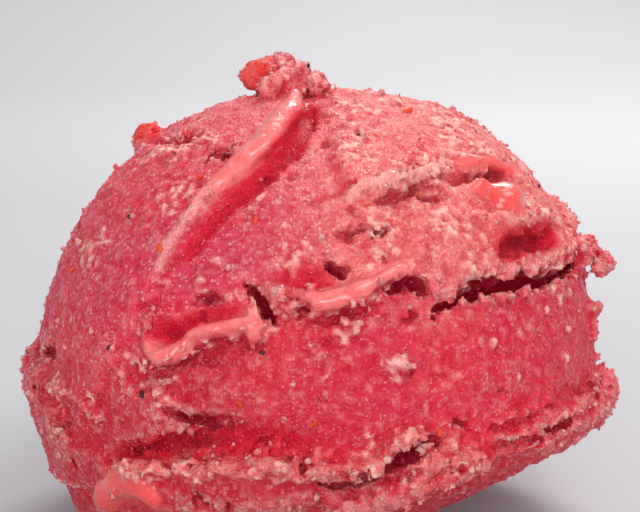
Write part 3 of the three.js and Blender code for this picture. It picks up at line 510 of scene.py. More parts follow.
# %% The crown's crest, its bay and the drops
LIP_UP_RIGHT = roll(FRONT, [(13.8, 18.4), (16.2, 18.8), (18.2, 18.9), (20.6, 18.2)],
                    lift=1.0, wide=0.5, thick=0.6, ends=0.6, fillet=0.4)
DROP = mound(FRONT, (18.6, 15), lift=1.3, across=2.2, along=1.9, out=1.7, fillet=0.15)
SMALL_DROP = mound(FRONT, (16.3, 16.1), lift=0.9, across=1.1, along=0.8, out=0.9, fillet=0.3)
CREST = roll(FRONT, [(3.3, 14.5), (4.5, 15.4), (6, 16), (7.6, 16.7), (9.6, 17.2), (11.5, 17.7),
                     (13.2, 18.5)], lift=1.2, wide=0.75, thick=0.85, fillet=0.4)
CROWN_FORMS = [
    # the pale crumbly patch on the upper right, with two pits
    *crumbs(FRONT, [(2.8, 23.4), (4.3, 24.7), (5.5, 23.5), (4.8, 21.8), (3.2, 19.7), (5.6, 18.7)],
            26, 0.6, 1.3, seed=4),
    pit(FRONT, (1, 20.4), lift=0.8, across=0.55, along=0.6, out=1.4, fillet=0.3),
    pit(FRONT, (3.9, 20.9), lift=0.8, across=0.8, along=0.6, out=1.2, fillet=0.3),
    # the crest and lip of the crown's edge, and the bay under them
    groove(FRONT, [(6.2, 14.2), (8.2, 15), (10.1, 15.5), (12.4, 15.8)], lift=0.5, wide=1.1, thick=1.2),
    pit(FRONT, (10.1, 15.6), lift=0.4, across=1.2, along=0.8, out=1.3, fillet=0.3),
    groove(FRONT, [(13.4, 16.9), (16, 17.3), (18.6, 17.2), (21, 16.4)], lift=0.6, wide=1, thick=1.3),
    CREST,
    *crumbs(FRONT, [(4.5, 15.6), (6, 16.2), (7.6, 16.9), (9.6, 17.5), (11.5, 18)], 8, 0.35, 0.7, seed=6),
    LIP_UP_RIGHT,
    DROP,
    SMALL_DROP,
    # the ragged hollow above the flaps, its jagged crest, and a thin curved thread of cream
    groove(FRONT, [(2.4, 10.8), (4.2, 11.6), (6, 11), (7.6, 11.6)],
           lift=0.5, wide=0.9, thick=1.1, fillet=0.4),
    *crumbs(FRONT, [(3.2, 9.7), (3.8, 10.4), (4.6, 10.9), (5.6, 10), (6.6, 10.6), (7.1, 10.3),
                    (7.8, 10.9), (8.5, 11.3)], 20, 0.5, 0.5, seed=9),
    roll(FRONT, [(-2.3, 10.5), (-1.3, 11), (-0.3, 10.7), (0.4, 10.1), (1, 9.6), (1.8, 9.2), (3.2, 9)],
         lift=0.55, wide=0.4, thick=0.5, fillet=0.3),
]

# %% The two flaps, their hollows and the gap between them
FLAP_A_LEFT = roll(FRONT, [(-15.3, 0.4), (-14.6, 0.1), (-13.7, 0.1), (-12.7, 0.4), (-12.1, 0.8),
                           (-11.5, 1.5)], lift=1.1, wide=0.9, thick=1, ends=0.75, fillet=0.4)
FLAP_A_RIGHT = roll(FRONT, [(-11.4, 1.7), (-10.5, 2.1), (-9.2, 2.3), (-7.7, 2.5), (-6.4, 2.7),
                            (-5.6, 2.8)],
                    lift=1.2, wide=0.75, thick=1, ends=0.9, taper=(0.9, 1.15), fillet=0.4)
FLAP_A_LOBE = roll(FRONT, [(-5.3, 3.7), (-5.2, 2.8), (-5.5, 1.8)],
                   lift=1.3, wide=0.8, thick=1, ends=0.8, fillet=0.4)
FLAP_A_EDGE = roll(FRONT, [(-14.1, 4.1), (-15.1, 3.6), (-15.7, 2.7), (-15.9, 1.7), (-15.6, 0.7)],
                   lift=0.9, wide=0.6, thick=0.8, ends=0.7, fillet=0.4)
FLAP_FLOOR = groove(FRONT, [(-12.7, 2.4), (-11.1, 3), (-9.5, 3.4), (-7.6, 3.7)],
                    lift=1.3, wide=0.8, thick=1, ends=0.6, fillet=0.5)
FLAP_B_LEFT = roll(FRONT, [(-4, 5.6), (-2.8, 5.3), (-1.6, 5.3), (-0.4, 5.4)],
                   lift=1, wide=0.8, thick=1, ends=0.8)
FLAP_B = roll(FRONT, [(-0.1, 4.5), (1.2, 4.8), (2.6, 5.1), (4.1, 5.7), (5.6, 6.6), (6.8, 7.4),
                      (8.4, 8.2)],
              lift=1.2, wide=1.1, thick=1.1, lean=-15, ends=0.75, taper=(1.15, 0.45), fillet=0.4)
FLAP_HOLLOW = pit(FRONT, (-13.4, 1.9), lift=1.4, across=1.6, along=0.9, out=1.6, fillet=0.5)
RED_PUDDLE = roll(FRONT, [(-2.2, 6.5), (-0.7, 6.4), (0.5, 6.5)], lift=0.7, wide=1, thick=0.55, ends=0.7)
FLAP_FORMS = [
    # what lies under the flaps' lips is cut away
    groove(FRONT, [(-15.6, -1.2), (-13, -0.8), (-11.4, 0), (-8.6, 0.9), (-5.6, 1)],
           lift=0.2, wide=0.9, thick=1.2, fillet=0.4),
    groove(FRONT, [(-3.6, 3.7), (-1.2, 3.6), (0.6, 3.3), (2.6, 3.6), (4.6, 4.3), (6.6, 5)],
           lift=0.3, wide=0.8, thick=1.1, fillet=0.4),
    FLAP_FLOOR,
    FLAP_A_EDGE,
    FLAP_A_LEFT,
    FLAP_A_RIGHT,
    FLAP_A_LOBE,
    *crumbs(FRONT, [(-6.7, 3.5), (-6.1, 4), (-5.6, 4), (-5, 3.5), (-8.1, 4.5), (-7.2, 4.5)],
            14, 0.4, 0.4, seed=13),
    FLAP_B_LEFT,
    RED_PUDDLE,
    FLAP_B,
    pit(FRONT, (-0.8, 4), lift=1.2, across=0.75, along=0.6, out=2, fillet=0.2),
    # the gap between the flaps
    groove(FRONT, [(-6.6, 6.4), (-5.9, 5.7), (-5, 4.7), (-4.5, 3.8), (-4.2, 2.9)],
           lift=0, wide=0.75, thick=2.6, taper=(0.8, 1.1), fillet=0.3),
    # the hollows behind the lips
    FLAP_HOLLOW,
    pit(FRONT, (-10.8, 3.7), lift=1, across=0.6, along=0.7, out=1.6, fillet=0.3),
    pit(FRONT, (-10.3, 5.2), lift=0.9, across=1.4, along=0.8, out=2.0, fillet=0.3),
    pit(FRONT, (1.1, 8.3), lift=0.7, across=0.7, along=0.6, out=1.8, fillet=0.4),
    pit(FRONT, (2.6, 7.7), lift=0.7, across=0.8, along=0.65, out=1.6, fillet=0.4),
    *crumbs(FRONT, [(-8.4, 4.2), (-7.2, 4.4), (-6.2, 3.9), (-9.4, 6.6), (-7.8, 6.3)],
            14, 0.5, 0.7, seed=12),
]

# %% The crack, the cave and the recess
RECESS = groove(FRONT, [(18.3, 10), (19.7, 10.8), (21.5, 11.3), (23.4, 11.8)],
                lift=0.6, wide=1.45, thick=1.5, ends=0.8, fillet=0.4)
CRACK = groove(FRONT, [(11.2, 4), (12.4, 4.5), (13.9, 5.1), (15.7, 6), (18, 6.6), (20.8, 7.1),
                       (23.9, 7.5), (26, 7.9)],
               lift=-0.9, wide=1.12, thick=3.6, lean=16, ends=0.2, taper=(0.8, 1.15), fillet=0.25)
CAVE = groove(FRONT, [(7.3, 5.9), (8.4, 6.5), (9.3, 6.8), (10.3, 6.3), (10.9, 5.9)],
              lift=-0.2, wide=0.85, thick=1.9, fillet=0.3)
CRACK_FORMS = [
    RECESS,
    roll(FRONT, [(14.3, 13.4), (16.4, 12.8), (18.2, 12.7), (19.6, 13.1), (21.6, 13.3), (24.2, 13.4)],
         lift=0.9, wide=0.8, thick=1),
    *crumbs(FRONT, [(17.2, 11), (18, 12), (19.6, 12.6), (21.3, 12.9), (22.6, 12.9), (24.4, 13)],
            14, 0.5, 0.5, seed=14),
    CRACK,
    CAVE,
    groove(FRONT, [(7.5, 2.9), (8.6, 3.5), (9.7, 4.2)], lift=0.1, wide=0.4, thick=1.3, fillet=0.2),
    pit(FRONT, (11.2, 5.4), lift=0.6, across=0.5, along=0.4, out=1, fillet=0.2),
    *crumbs(FRONT, [(12.6, 5.7), (14.3, 6.8), (16.2, 7.5), (18.5, 8.1), (21.4, 8.5), (24.6, 9.3)],
            18, 0.5, 0.6, seed=15),
    *crumbs(FRONT, [(14.4, 4.4), (16.3, 5.1), (18.4, 5.4), (20.6, 5.6), (23, 5.8), (25, 6.3)],
            18, 0.5, 0.4, seed=16),
    # a scab and a few crumbs on the smooth face below
    roll(FRONT, [(6.3, -0.6), (8.2, -1.5), (10.1, -0.9)], lift=0.1, wide=0.8, thick=0.4, fillet=0.4),
    pit(FRONT, (1.3, 0.9), lift=0.2, across=0.4, along=0.6, out=0.9, fillet=0.3),
    *crumbs(FRONT, [(2.8, 3), (3.5, 2.2), (4.1, 1.2), (-0.6, 0.6)], 8, 0.4, 0.7, seed=19),
    # the hollow left of the face, with crumbs above it
    groove(FRONT, [(-13.9, -5.6), (-10.5, -6.5), (-7.6, -6.9)], lift=0.1, wide=0.8, thick=1.4),
    *crumbs(FRONT, [(-15.2, -3.2), (-13.6, -3.8), (-12.2, -4.8)], 9, 0.6, 1, seed=3),
]

# %% The collar in front
WET_CHUNK = roll(FRONT, [(-19.8, -14.5), (-18.8, -12.5), (-17.2, -11.9), (-15.7, -12), (-14.6, -13)],
                 lift=1.9, wide=1.4, thick=1.5, ends=0.8, fillet=0.4)
COLLAR_VALLEY = groove(FRONT, [(-18.6, -9.8), (-14, -8.9), (-9, -8.3), (-4, -8.2), (-0.9, -8.6)],
                       lift=0.5, wide=1.1, thick=1.2, fillet=0.8)
LEFT_CREST = roll(FRONT, [(-19.4, -12), (-18.6, -11.2), (-17.7, -10.7), (-16.4, -10.2), (-15.3, -10.6),
                          (-14.2, -10.3)], lift=1.7, wide=0.7, thick=1.2, ends=0.7, fillet=0.4)
MIDDLE_CREST = roll(FRONT, [(-12.2, -10.7), (-11.1, -11), (-9.8, -10.6), (-8.5, -9.8), (-7.2, -10.2),
                            (-5.9, -10.4), (-4.8, -9.9), (-3.8, -9.8), (-2.5, -10.2), (-1.3, -10.6)],
                    lift=1.6, wide=0.8, thick=1.4, ends=0.7, fillet=0.4)
LEDGE_CREST = roll(FRONT, [(0, -9.2), (0.6, -10.9), (1.6, -11.4), (2.7, -10.9), (4.2, -10.3), (5.9, -9.8),
                           (7, -9), (8.2, -8.2), (9.8, -7.6)],
                   lift=0.9, wide=0.75, thick=1.2, ends=0.6, fillet=0.4)
CHUNK_CREST = roll(FRONT, [(9.3, -12), (10.1, -10.9), (11, -10.2), (12.2, -9.9), (13.6, -9.9),
                           (14.8, -10.3), (15.6, -10.9)],
                   lift=1, wide=0.8, thick=1.2, ends=0.7, fillet=0.4)
COLLAR_FRONT = [
    # the valley behind the collar, and the chunks with their crumbly crest
    COLLAR_VALLEY,
    roll(FRONT, [(-20.4, -13.4), (-15.2, -13.2), (-11.1, -13), (-6.3, -12.6), (-1.6, -12.8)],
         lift=0.8, wide=2.6, thick=1.6, ends=0.7),
    LEFT_CREST,
    MIDDLE_CREST,
    WET_CHUNK,
    *crumbs(FRONT, [(-18.8, -11), (-17.7, -10.4), (-16.4, -9.9), (-15.3, -10.2), (-14.4, -10)],
            16, 0.5, 0.5, seed=21),
    *crumbs(FRONT, [(-11.1, -10.6), (-9.8, -10.2), (-8.5, -9.3), (-7.2, -9.8), (-4.8, -9.5), (-3.8, -9.3),
                    (-2.5, -9.8), (-1.6, -10.2)], 24, 0.5, 0.6, seed=22),
    pit(FRONT, (-12.9, -10.4), lift=1, across=0.7, along=0.7, out=1.4, fillet=0.3),
    pit(FRONT, (-0.7, -10.2), lift=0.9, across=0.6, along=0.9, out=1.4, fillet=0.3),
    pit(FRONT, (-15.5, -12), lift=1.6, across=0.4, along=0.9, out=1.4, fillet=0.3),
    pit(FRONT, (-9.9, -13.2), lift=1.9, across=0.8, along=0.8, out=1.2, fillet=0.4),
    pit(FRONT, (-7.6, -13.9), lift=1.9, across=0.6, along=0.8, out=1.2, fillet=0.4),
    *crumbs(FRONT, [(-6.6, -12), (-5.2, -12.8), (-3.4, -12.4), (-2, -13.4), (-8.6, -11.8)],
            22, 0.6, 1, seed=23),
    # the ledge over the dark gap, and the chunk on the gap's right
    roll(FRONT, [(2.2, -14.6), (5.2, -13.8), (8, -13), (10.7, -12.2), (13.4, -11.2), (15.6, -10)],
         lift=0.6, wide=1.3, thick=1.5, ends=0.7),
    groove(FRONT, [(1, -12.8), (2.8, -12.2), (4.1, -11.8), (5.9, -11.2), (7.4, -10.6), (8.7, -9.9),
                   (10.1, -9), (11.8, -8.2)],
           lift=-0.3, wide=0.95, thick=2.8, lean=14, ends=0.3, taper=(0.7, 1.2), fillet=0.25),
    LEDGE_CREST,
    CHUNK_CREST,
    roll(FRONT, [(15.6, -10.2), (16.2, -9.2), (16.6, -8.4)], lift=1.1, wide=0.6, thick=0.7, ends=0.8),
    groove(FRONT, [(12.8, -7.1), (14.1, -6.9), (15.4, -7.2)], lift=0, wide=0.5, thick=1.4, fillet=0.2),
    *crumbs(FRONT, [(0.4, -9.9), (1.2, -11.2), (2.7, -10.6), (4.2, -10), (5.9, -9.6), (7, -8.8),
                    (8.2, -8), (9.4, -7.6)], 26, 0.45, 0.6, seed=24),
    *crumbs(FRONT, [(10, -10.6), (11, -9.9), (12.2, -9.6), (13.6, -9.6), (14.8, -10), (16.6, -8.2)],
            16, 0.45, 0.6, seed=25),
    *crumbs(FRONT, [(1.4, -13.6), (3, -13.8), (5, -13.4), (6.6, -13)], 14, 0.5, 0.7, seed=26),
    # the crests on the right of the collar
    roll(FRONT, [(16.4, -6.8), (19.7, -5.7), (21.9, -5), (24, -3.6)],
         lift=0.2, wide=0.5, thick=0.8, fillet=0.4),
    groove(FRONT, [(15.6, -9.2), (20.4, -7.6), (24.6, -6.2)], lift=1.4, wide=0.9, thick=0.9),
    roll(FRONT, [(17.2, -8.3), (20.8, -6.7), (24.3, -5.3), (28, -4.2)], lift=0.9, wide=0.8, thick=1.3),
]

# %% The rim on the left, and the flake and the teeth on the right
EDGE_FORMS = [
    groove(FRONT, [(-27.8, 0.4), (-26.6, -0.4), (-25.4, 0.4)], lift=1, wide=0.8, thick=1.1),
    roll(FRONT, [(-29.2, -1.2), (-27.6, -1.9), (-26, -3.2), (-22.3, -4.2), (-20.8, -6)],
         lift=(2.2, 1.6, 1.2, 1.2, 1.2), wide=1.1, thick=1.5),
    *crumbs(FRONT, [(-26.4, -1.1), (-25.3, -1), (-24.4, -1.3), (-25.9, -2.4), (-25.5, -4), (-24.1, -4.4),
                    (-25.6, -5.2), (-22.2, -5.7)], 20, 0.5, 0.6, seed=5),
    roll(FRONT, [(-25.6, -6), (-25.2, -7.4), (-24.6, -8.8)], lift=1.8, wide=0.4, thick=0.6),
    groove(FRONT, [(-24.2, -6.2), (-23.9, -8.5), (-23.5, -11.4)], lift=2, wide=0.6, thick=1.2),
    roll(FRONT, [(26.4, 10.8), (27.8, 11.1), (28.5, 10.8)],
         lift=(0.2, 1.4, 2.6), wide=1, thick=1, ends=0.8, fillet=0.4),
    roll(FRONT, [(28.5, 10.4), (28.7, 9.4), (28.3, 8.2)],
         lift=(2.6, 2.9, 1.7), wide=1, thick=0.9, ends=0.7, fillet=0.4),
    roll(FRONT, [(26.8, 10.6), (27.4, 9.4)], lift=1.3, wide=1.3, thick=1.2, ends=0.8),
    *crumbs(FRONT, [(28.3, 11.2), (28.4, 9), (27.6, 8.6), (28, 10.6)], 10, 0.55, 0.8, seed=7),
    *crumbs(FRONT, [(28.9, 4.4), (29.1, 2.4), (29.4, -1.6), (29.2, -3.4)], 12, 0.7, 1.6, seed=8),
]
FRONT_FORMS = CROWN_FORMS + TOP_FORMS + FLAP_FORMS + CRACK_FORMS + COLLAR_FRONT + EDGE_FORMS
print("forms on the front:", len(FRONT_FORMS))

# %% [markdown]
# ## The other sides
#
# Nothing is known of them, but a scoop looks alike all round, so they get the same kinds of
# lips, cracks, rolls, pits and crumbs, each in its own place, and the collar breaks into chunks.

# %% The sides, the back and the collar
SIDE_FORMS = [
    groove(RIGHT, [(-13, 5.4), (-7, 3.9), (0, 3.4), (6, 4.9), (11, 4.2)],
           lift=-0.8, wide=0.8, thick=2.8, lean=18, ends=0.3, fillet=0.3),
    roll(RIGHT, [(-2, 6.4), (3, 6.6), (8, 7.8), (13, 6.6)], lift=1, wide=1.2, thick=1.2, lean=12),
    roll(RIGHT, [(2, 22), (7, 19), (10, 14.5), (16, 13)], lift=1.2, wide=1.3, thick=1.3),
    groove(RIGHT, [(4, 17.6), (7, 15.4), (8.4, 12.4)], lift=1, wide=1, thick=1.2),
    pit(RIGHT, (-8, 16), lift=1, across=1.6, along=0.9, out=1.7),
    pit(RIGHT, (2, -2.5), lift=0.4, across=1.5, along=0.8, out=1.4),
    groove(BACK, [(-17, 3.4), (-11, 3.6), (-6, 5), (-1, 6.2)],
           lift=-0.8, wide=0.8, thick=2.8, lean=18, ends=0.3, fillet=0.3),
    roll(BACK, [(-14, 7), (-8.6, 6.6), (-3.4, 8.8), (3, 8)], lift=1, wide=1.5, thick=1.2, lean=12),
    groove(BACK, [(5.6, 4), (9, 1), (13.4, -3)], lift=0.2, wide=0.9, thick=1.6),
    roll(BACK, [(6, 24), (12, 19.5), (17, 12.5), (18.6, 6), (18, 0)], lift=1.1, wide=1.4, thick=1.3),
    groove(BACK, [(8, 20), (11.8, 15.6), (14.6, 10)], lift=0.9, wide=1.2, thick=1),
    roll(BACK, [(-20, 14.4), (-14, 13), (-9, 16.4), (-3, 18.4)], lift=0.9, wide=1, thick=1.1),
    pit(BACK, (3, 13), lift=1.1, across=2.2, along=1.2, out=1.8),
    pit(BACK, (-6, -2), lift=0.5, across=1.8, along=0.9, out=1.5),
    *crumbs(BACK, [(-8, 1), (2, -4), (10, 6), (-13, 9), (0, 21)], 20, 0.9, 4, seed=11),
    roll(LEFT, [(-12, 10), (-5, 12.4), (2, 11), (9, 13)], lift=1.3, wide=1, thick=0.9),
    groove(LEFT, [(-11, 8.2), (-4.6, 10.4), (1.6, 9.2)], lift=1.9, wide=0.9, thick=1),
    roll(LEFT, [(-16, -3), (-9, -1), (-1, -2.6), (5, -1.4)], lift=1.2, wide=0.9, thick=1),
    pit(LEFT, (-8, 3.4), lift=1.4, across=1.8, along=0.9, out=1.6),
    pit(LEFT, (6, 19), lift=1.6, across=1.5, along=1, out=1.5),
    *crumbs(LEFT, [(-14, 4), (-3, 6), (6, -6), (12, 16), (-6, 18)], 18, 0.8, 4, seed=17),
]
COLLAR_FORMS = []
for i, azimuth in enumerate((75, 107, 143, 176, 205, 242, 271)):
    seen = side(azimuth, 0)
    low = -3.2 if i % 2 else -2.2
    COLLAR_FORMS += [
        roll(seen, [(-7, low), (-2, low - 0.5), (3, low + 0.3), (7, low - 0.2)],
             lift=1, wide=mix(0.9, 1.4, hashed(i, 1, 1)), thick=mix(1, 1.6, hashed(i, 2, 1)), ends=0.6),
        pit(seen, (8.4, low + 0.6), lift=2.2, across=0.9, along=2, out=1.6),
    ]
FORMS = COLLAR_FORMS + SIDE_FORMS + FRONT_FORMS
print("forms in all:", len(FORMS))

# %% [markdown]
# ## The body under the forms
#
# Under the forms lie the ball, the brim that the dipper's rim pressed, and the slanting cone
# that the lower half was scraped to. The collar is a ring along the brim.

# %% The body
COLLAR_RADIUS, COLLAR_OUT, COLLAR_UP, COLLAR_DROP = 30.0, 1.0, 0.7, 0.6
BREAK_DEPTH = 3  # how far the collar sinks away where it is broken
BRIM_EDGE, PACKED_EDGE, COLLAR_EDGE = 1, 1.2, 0.8  # fillets
BOWL_RADIUS, BOWL_HEIGHT = 30.7, 15.0
RIM_AROUND = np.radians([-180, -140, -110, -90, -68, -54, -40, -30, -15, 0, 15, 35, 55, 75, 90, 130, 180])
RIM_HEIGHT = [15.6, 16.4, 17.4, 17.9, 16.8, 13.5, 12.6, 15.2, 16.6, 16.2, 17.2, 16.8, 17, 16.4, 15.4, 15,
              15.6]
RIM_STRENGTH = [1, 1, 1, 1, 0.8, 0, 0, 0.6, 1, 1, 1, 1, 1, 1, 1, 1, 1]
FOOT_APEX = np.array([-21.7, 0.0, -17.8])
FOOT_SLOPE, FOOT_LEAN = math.radians(37.9), math.radians(20.8)
FOOT_AXIS = np.array([math.sin(FOOT_LEAN), 0.0, math.cos(FOOT_LEAN)])


def cone_distance(p):
    above = p - FOOT_APEX
    up = above @ FOOT_AXIS
    aside = np.sqrt(np.maximum((above**2).sum(axis=1) - up * up, 0))
    return aside * math.cos(FOOT_SLOPE) - up * math.sin(FOOT_SLOPE)


def body(p):
    ball = np.linalg.norm(p - CENTRE, axis=1) - BALL_RADIUS
    cone = cone_distance(p)
    bowl = np.linalg.norm(p - (0, 0, BOWL_HEIGHT), axis=1) - BOWL_RADIUS
    around = np.arctan2(p[:, 0], -p[:, 1])
    height = np.interp(around, RIM_AROUND, RIM_HEIGHT)
    brim = cut(bowl, height - p[:, 2], BRIM_EDGE)
    flat = np.hypot(p[:, 0], p[:, 1])
    ring = np.hypot((flat - COLLAR_RADIUS) / COLLAR_OUT, (p[:, 2] - height + COLLAR_DROP) / COLLAR_UP) - 1
    ring = ring * COLLAR_UP + BREAK_DEPTH * (1 - np.interp(around, RIM_AROUND, RIM_STRENGTH))
    packed_part = cut(join(ball, brim, PACKED_EDGE), -cone, PACKED_EDGE)
    return join(packed_part, ring, COLLAR_EDGE)


# %% [markdown]
# ## The fine surface
#
# The solid has crags of a few millimetres. The eye also sees crumbs of nearly a millimetre, ice
# grains of half of one, small pits and frayed edges. Wet rolls have almost none of it, because
# melting smooths them, and the face in front and the scraped foot have few crumbs. So how many
# crumbs there are, and how deep the grain is, depends on where a point lies.

# %% The finished field
RAGGED_SIZE, RAGGED_SHIFT = 2.3, 0.42
FRAY_SIZE, FRAY_SHIFT = 0.95, 0.3
OUTWARD_SHARE = 0.3
CRAG_SIZE, CRAG_DEPTH, FINE_SIZE, FINE_DEPTH = 3.6, 0.18, 1.7, 0.1
CRUMB_SIZE, CRUMB_HEIGHT, CRUMB_SHIFT = 0.8, 0.38, 0.34
GRAIN_SIZE, GRAIN_HEIGHT, GRAIN_SHIFT = 0.52, 0.16, 0.16
PIT_SIZE, PIT_DEPTH, PIT_SHARE = 1.3, 0.6, 0.07
RIPPLE_SIZE, RIPPLE_HEIGHT = 1.2, 0.1
FEWEST_CRUMBS, FROSTY_CRUMBS, SCATTERED_CRUMBS, EDGE_CRUMBS = 0.012, 0.85, 0.14, 0.35
BEND_SIZE, BEND_SHIFT = 0.7, 0.16
FROST_SIZE, SCATTER_SIZE = 1.8, 5.2
CALM_SHARE = 0.7  # how much less grain a smooth form has
WET_GRAIN = 0.1  # how much of the grain a wet form keeps
WET_FORMS = [RIDGE, FLAP_A_LEFT, FLAP_A_RIGHT, FLAP_A_LOBE, FLAP_B, LIP_UP_RIGHT, DROP, SMALL_DROP,
             WET_CHUNK]
PALE_WET = [RIDGE, FLAP_A_LEFT, FLAP_A_RIGHT, FLAP_A_LOBE, FLAP_B]
SMOOTH_FORMS = [RECESS, CRACK, CAVE, KNOB_LEFT, NUB, FLAP_HOLLOW, FLAP_FLOOR]
# hollows that get painted shade in deep red, and the red puddle, whose red is its own
SHADED_AND_JUICY = [VALLEY, FLAP_HOLLOW, FLAP_FLOOR, RED_PUDDLE, RECESS, COLLAR_VALLEY]
ORANGE = [KNOB_LEFT, NUB]
PALE_DRY = [RIDGE_END, CREST]
COLLAR_CRESTS = [LEFT_CREST, MIDDLE_CREST, LEDGE_CREST, CHUNK_CREST]
# where pale crumbs lie thick, and how wide each patch is
FROSTED = [(ways(FRONT, place)[0], wide) for place, wide in (
    ((4.2, 24), 2.6), ((4.9, 21.4), 2.6), ((3.6, 19), 2.2), ((8.5, 25.6), 3), ((13, 22.6), 3.5),
    ((8, 16.7), 2.6), ((11, 17.8), 2.4), ((16, 20.4), 3), ((22, 14.6), 3), ((5.5, 13.4), 2),
    ((6.5, 10.4), 2.4), ((12.5, 12.4), 2.6), ((-1.6, 8.8), 2.2), ((-6, 4.2), 1.2), ((-8.2, 5), 1.2),
    ((-10.5, 20.4), 2), ((-13, 19.4), 1.8), ((21, 8.6), 2.4), ((15, 7.2), 1.6), ((4.5, -10), 2.4),
    ((9, -8.2), 1.8), ((-4, -9.6), 2.2), ((-10, -10.2), 2), ((-16.6, -10.2), 1.8), ((13, -9.6), 2),
    ((-24.8, -3), 2.6), ((-13.8, -3.8), 2), ((3.4, 2), 1.6), ((8, -1.2), 1.8))]
FROSTED += [(ways(seen, place)[0], wide) for seen in (RIGHT, BACK, LEFT) for place, wide in (
    ((-9, 20), 3.4), ((-3, 14), 2.6), ((5, 17), 3), ((12, 7), 2.6), ((-13, 4), 2.4), ((16, 15), 2.6))]


def nearness(points, edge=0.5, forms=WET_FORMS):
    """1 on and inside any of the forms, the wet ones unless others are named, and 0 beyond the edge."""
    near = np.zeros(len(points))
    for form in forms:
        near = np.maximum(near, form.within(points, edge))
    return near


def sideways(points, shift):
    """A shift with most of its outward part taken away, so that edges fray but faces stay calm."""
    out = unit(points - CENTRE)
    return shift - (1 - OUTWARD_SHARE) * (shift * out).sum(axis=1, keepdims=True) * out


def smooth_shift(points, size, shift):
    x, y, z = (points / size).T
    return shift * np.stack([relief(x, y, z), relief(y + 40, z, x), relief(z, x + 40, y)], axis=1)


def frayed(points):
    """The points shifted by smooth relief, which frays every edge that is drawn at them."""
    return points + sideways(points, smooth_shift(points, RAGGED_SIZE, RAGGED_SHIFT))


def frostiness(points):
    """1 where pale crumbs lie thick, in patches with ragged edges."""
    frost = np.zeros(len(points))
    for way, wide in FROSTED:
        away = np.linalg.norm(unit(points - CENTRE) - way, axis=1) * BALL_RADIUS
        frost = np.maximum(frost, smooth(1.2 * wide, 0.3 * wide, away))
    return frost * smooth(-0.8, 0.1, relief_at(points, FROST_SIZE, 5))


def crumb_relief(points):
    """How high crumbs and grains stand at each point, from 0 to 1, and each crumb's own numbers."""
    # crumbs lie in loose patches, hardly any of them on the left or below the cap's edge
    scattered = smooth(0.1, 0.6, relief_at(points, SCATTER_SIZE, 3.3)) * smooth(-14, 4, points[:, 0])
    on_cap = CAP.inside(points)
    share = FEWEST_CRUMBS + FROSTY_CRUMBS * frostiness(points)
    share += SCATTERED_CRUMBS * scattered * smooth(-1.5, 0.5, on_cap)
    # the cap's torn edge has many, and the scraped foot few
    share += EDGE_CRUMBS * smooth(1.6, 0.2, np.abs(on_cap))
    scraped = smooth(0.9, 0.2, np.abs(cone_distance(points)))
    bent = points + smooth_shift(points, BEND_SIZE, BEND_SHIFT)
    shape, own = packed(bent, CRUMB_SIZE)
    crumb = smooth(-0.15, 0.45, shape) * (own[:, 0] < share * mix(1, 0.3, scraped))
    shape, grain_own = packed(bent, GRAIN_SIZE)
    grain = smooth(-0.2, 0.6, shape) * grain_own[:, 0]
    return crumb, grain, own, grain_own


def unsquashed(points):
    """The points as they would lie if the ball's top weren't pressed flat."""
    above = np.maximum(points[:, 2] - BALL_HEIGHT, 0)
    return points + above[:, None] * (0, 0, 1 / SQUASH - 1)


def field(points, fine):
    """The distance from the scoop's surface, with the fine grain or without it."""
    p = unsquashed(points)
    q = frayed(p)
    if fine:
        wet = nearness(q)
        calm = np.maximum(wet, CALM_SHARE * nearness(q, 0.6, SMOOTH_FORMS + PALE_DRY))
        crumb, grain, own, grain_own = crumb_relief(p)
        shift = smooth_shift(p, FRAY_SIZE, FRAY_SHIFT)
        shift += CRUMB_SHIFT * (2 * own - 1) + GRAIN_SHIFT * (2 * grain_own - 1)
        q = q + (1 - wet)[:, None] * sideways(p, shift)
    value = body(q)
    for form in SHEETS + FORMS:
        form.lay(value, q)
    value -= CRAG_DEPTH * relief_at(p, CRAG_SIZE) + FINE_DEPTH * relief_at(p, FINE_SIZE, 9)
    if fine:
        dry = 1 - calm
        value -= dry * CRUMB_HEIGHT * crumb * mix(0.6, 1.2, own[:, 1])
        ripples = wet * RIPPLE_HEIGHT * relief_at(p, RIPPLE_SIZE)
        value -= mix(WET_GRAIN, 1, dry) * GRAIN_HEIGHT * (grain - 0.4) + ripples
        value += dry * PIT_DEPTH * smooth(0.1, 0.8, packed(q, PIT_SIZE, PIT_SHARE)[0])
    return np.maximum(value, -points[:, 2])


# %% [markdown]
# ## From field to mesh
#
# The field is worked out on a grid. Doing that everywhere at a third of a millimetre would take
# millions of useless points, so a coarse pass finds the blocks that the surface passes through,
# and only those are filled in finely. OpenVDB then draws the surface through the grid.

# %% Meshing
FINE_STEP = 0.33
BLOCK = 4  # steps
REACH, TOP = 35.0, 54.0
NEAR_SURFACE = 2.0
POINTS_AT_ONCE = 300_000


def sampled_grid():
    """The field on a grid that starts just below the foot, and the grid's lowest corner."""
    low = np.array([-REACH, -REACH, -1.5 * FINE_STEP])
    blocks = np.ceil((np.array([REACH, REACH, TOP]) - low) / (BLOCK * FINE_STEP)).astype(int)
    index = np.stack(np.meshgrid(*(np.arange(n) for n in blocks), indexing="ij"), axis=-1).reshape(-1, 3)
    middle = low + (index + 0.5) * BLOCK * FINE_STEP - FINE_STEP / 2
    rough = field(middle, fine=False)
    values = np.where(rough > 0, 1.0, -1.0).reshape(blocks)
    for axis in range(3):
        values = np.repeat(values, BLOCK, axis=axis)
    near = index[np.abs(rough) < NEAR_SURFACE]
    step = np.stack(np.meshgrid(*[np.arange(BLOCK)] * 3, indexing="ij"), axis=-1).reshape(-1, 3)
    fine = (near[:, None, :] * BLOCK + step).reshape(-1, 3)
    for part in np.array_split(fine, max(1, len(fine) // POINTS_AT_ONCE)):
        values[tuple(part.T)] = field(low + part * FINE_STEP, fine=True)
    print("grid", values.shape, "with", len(fine), "fine points")
    return values, low


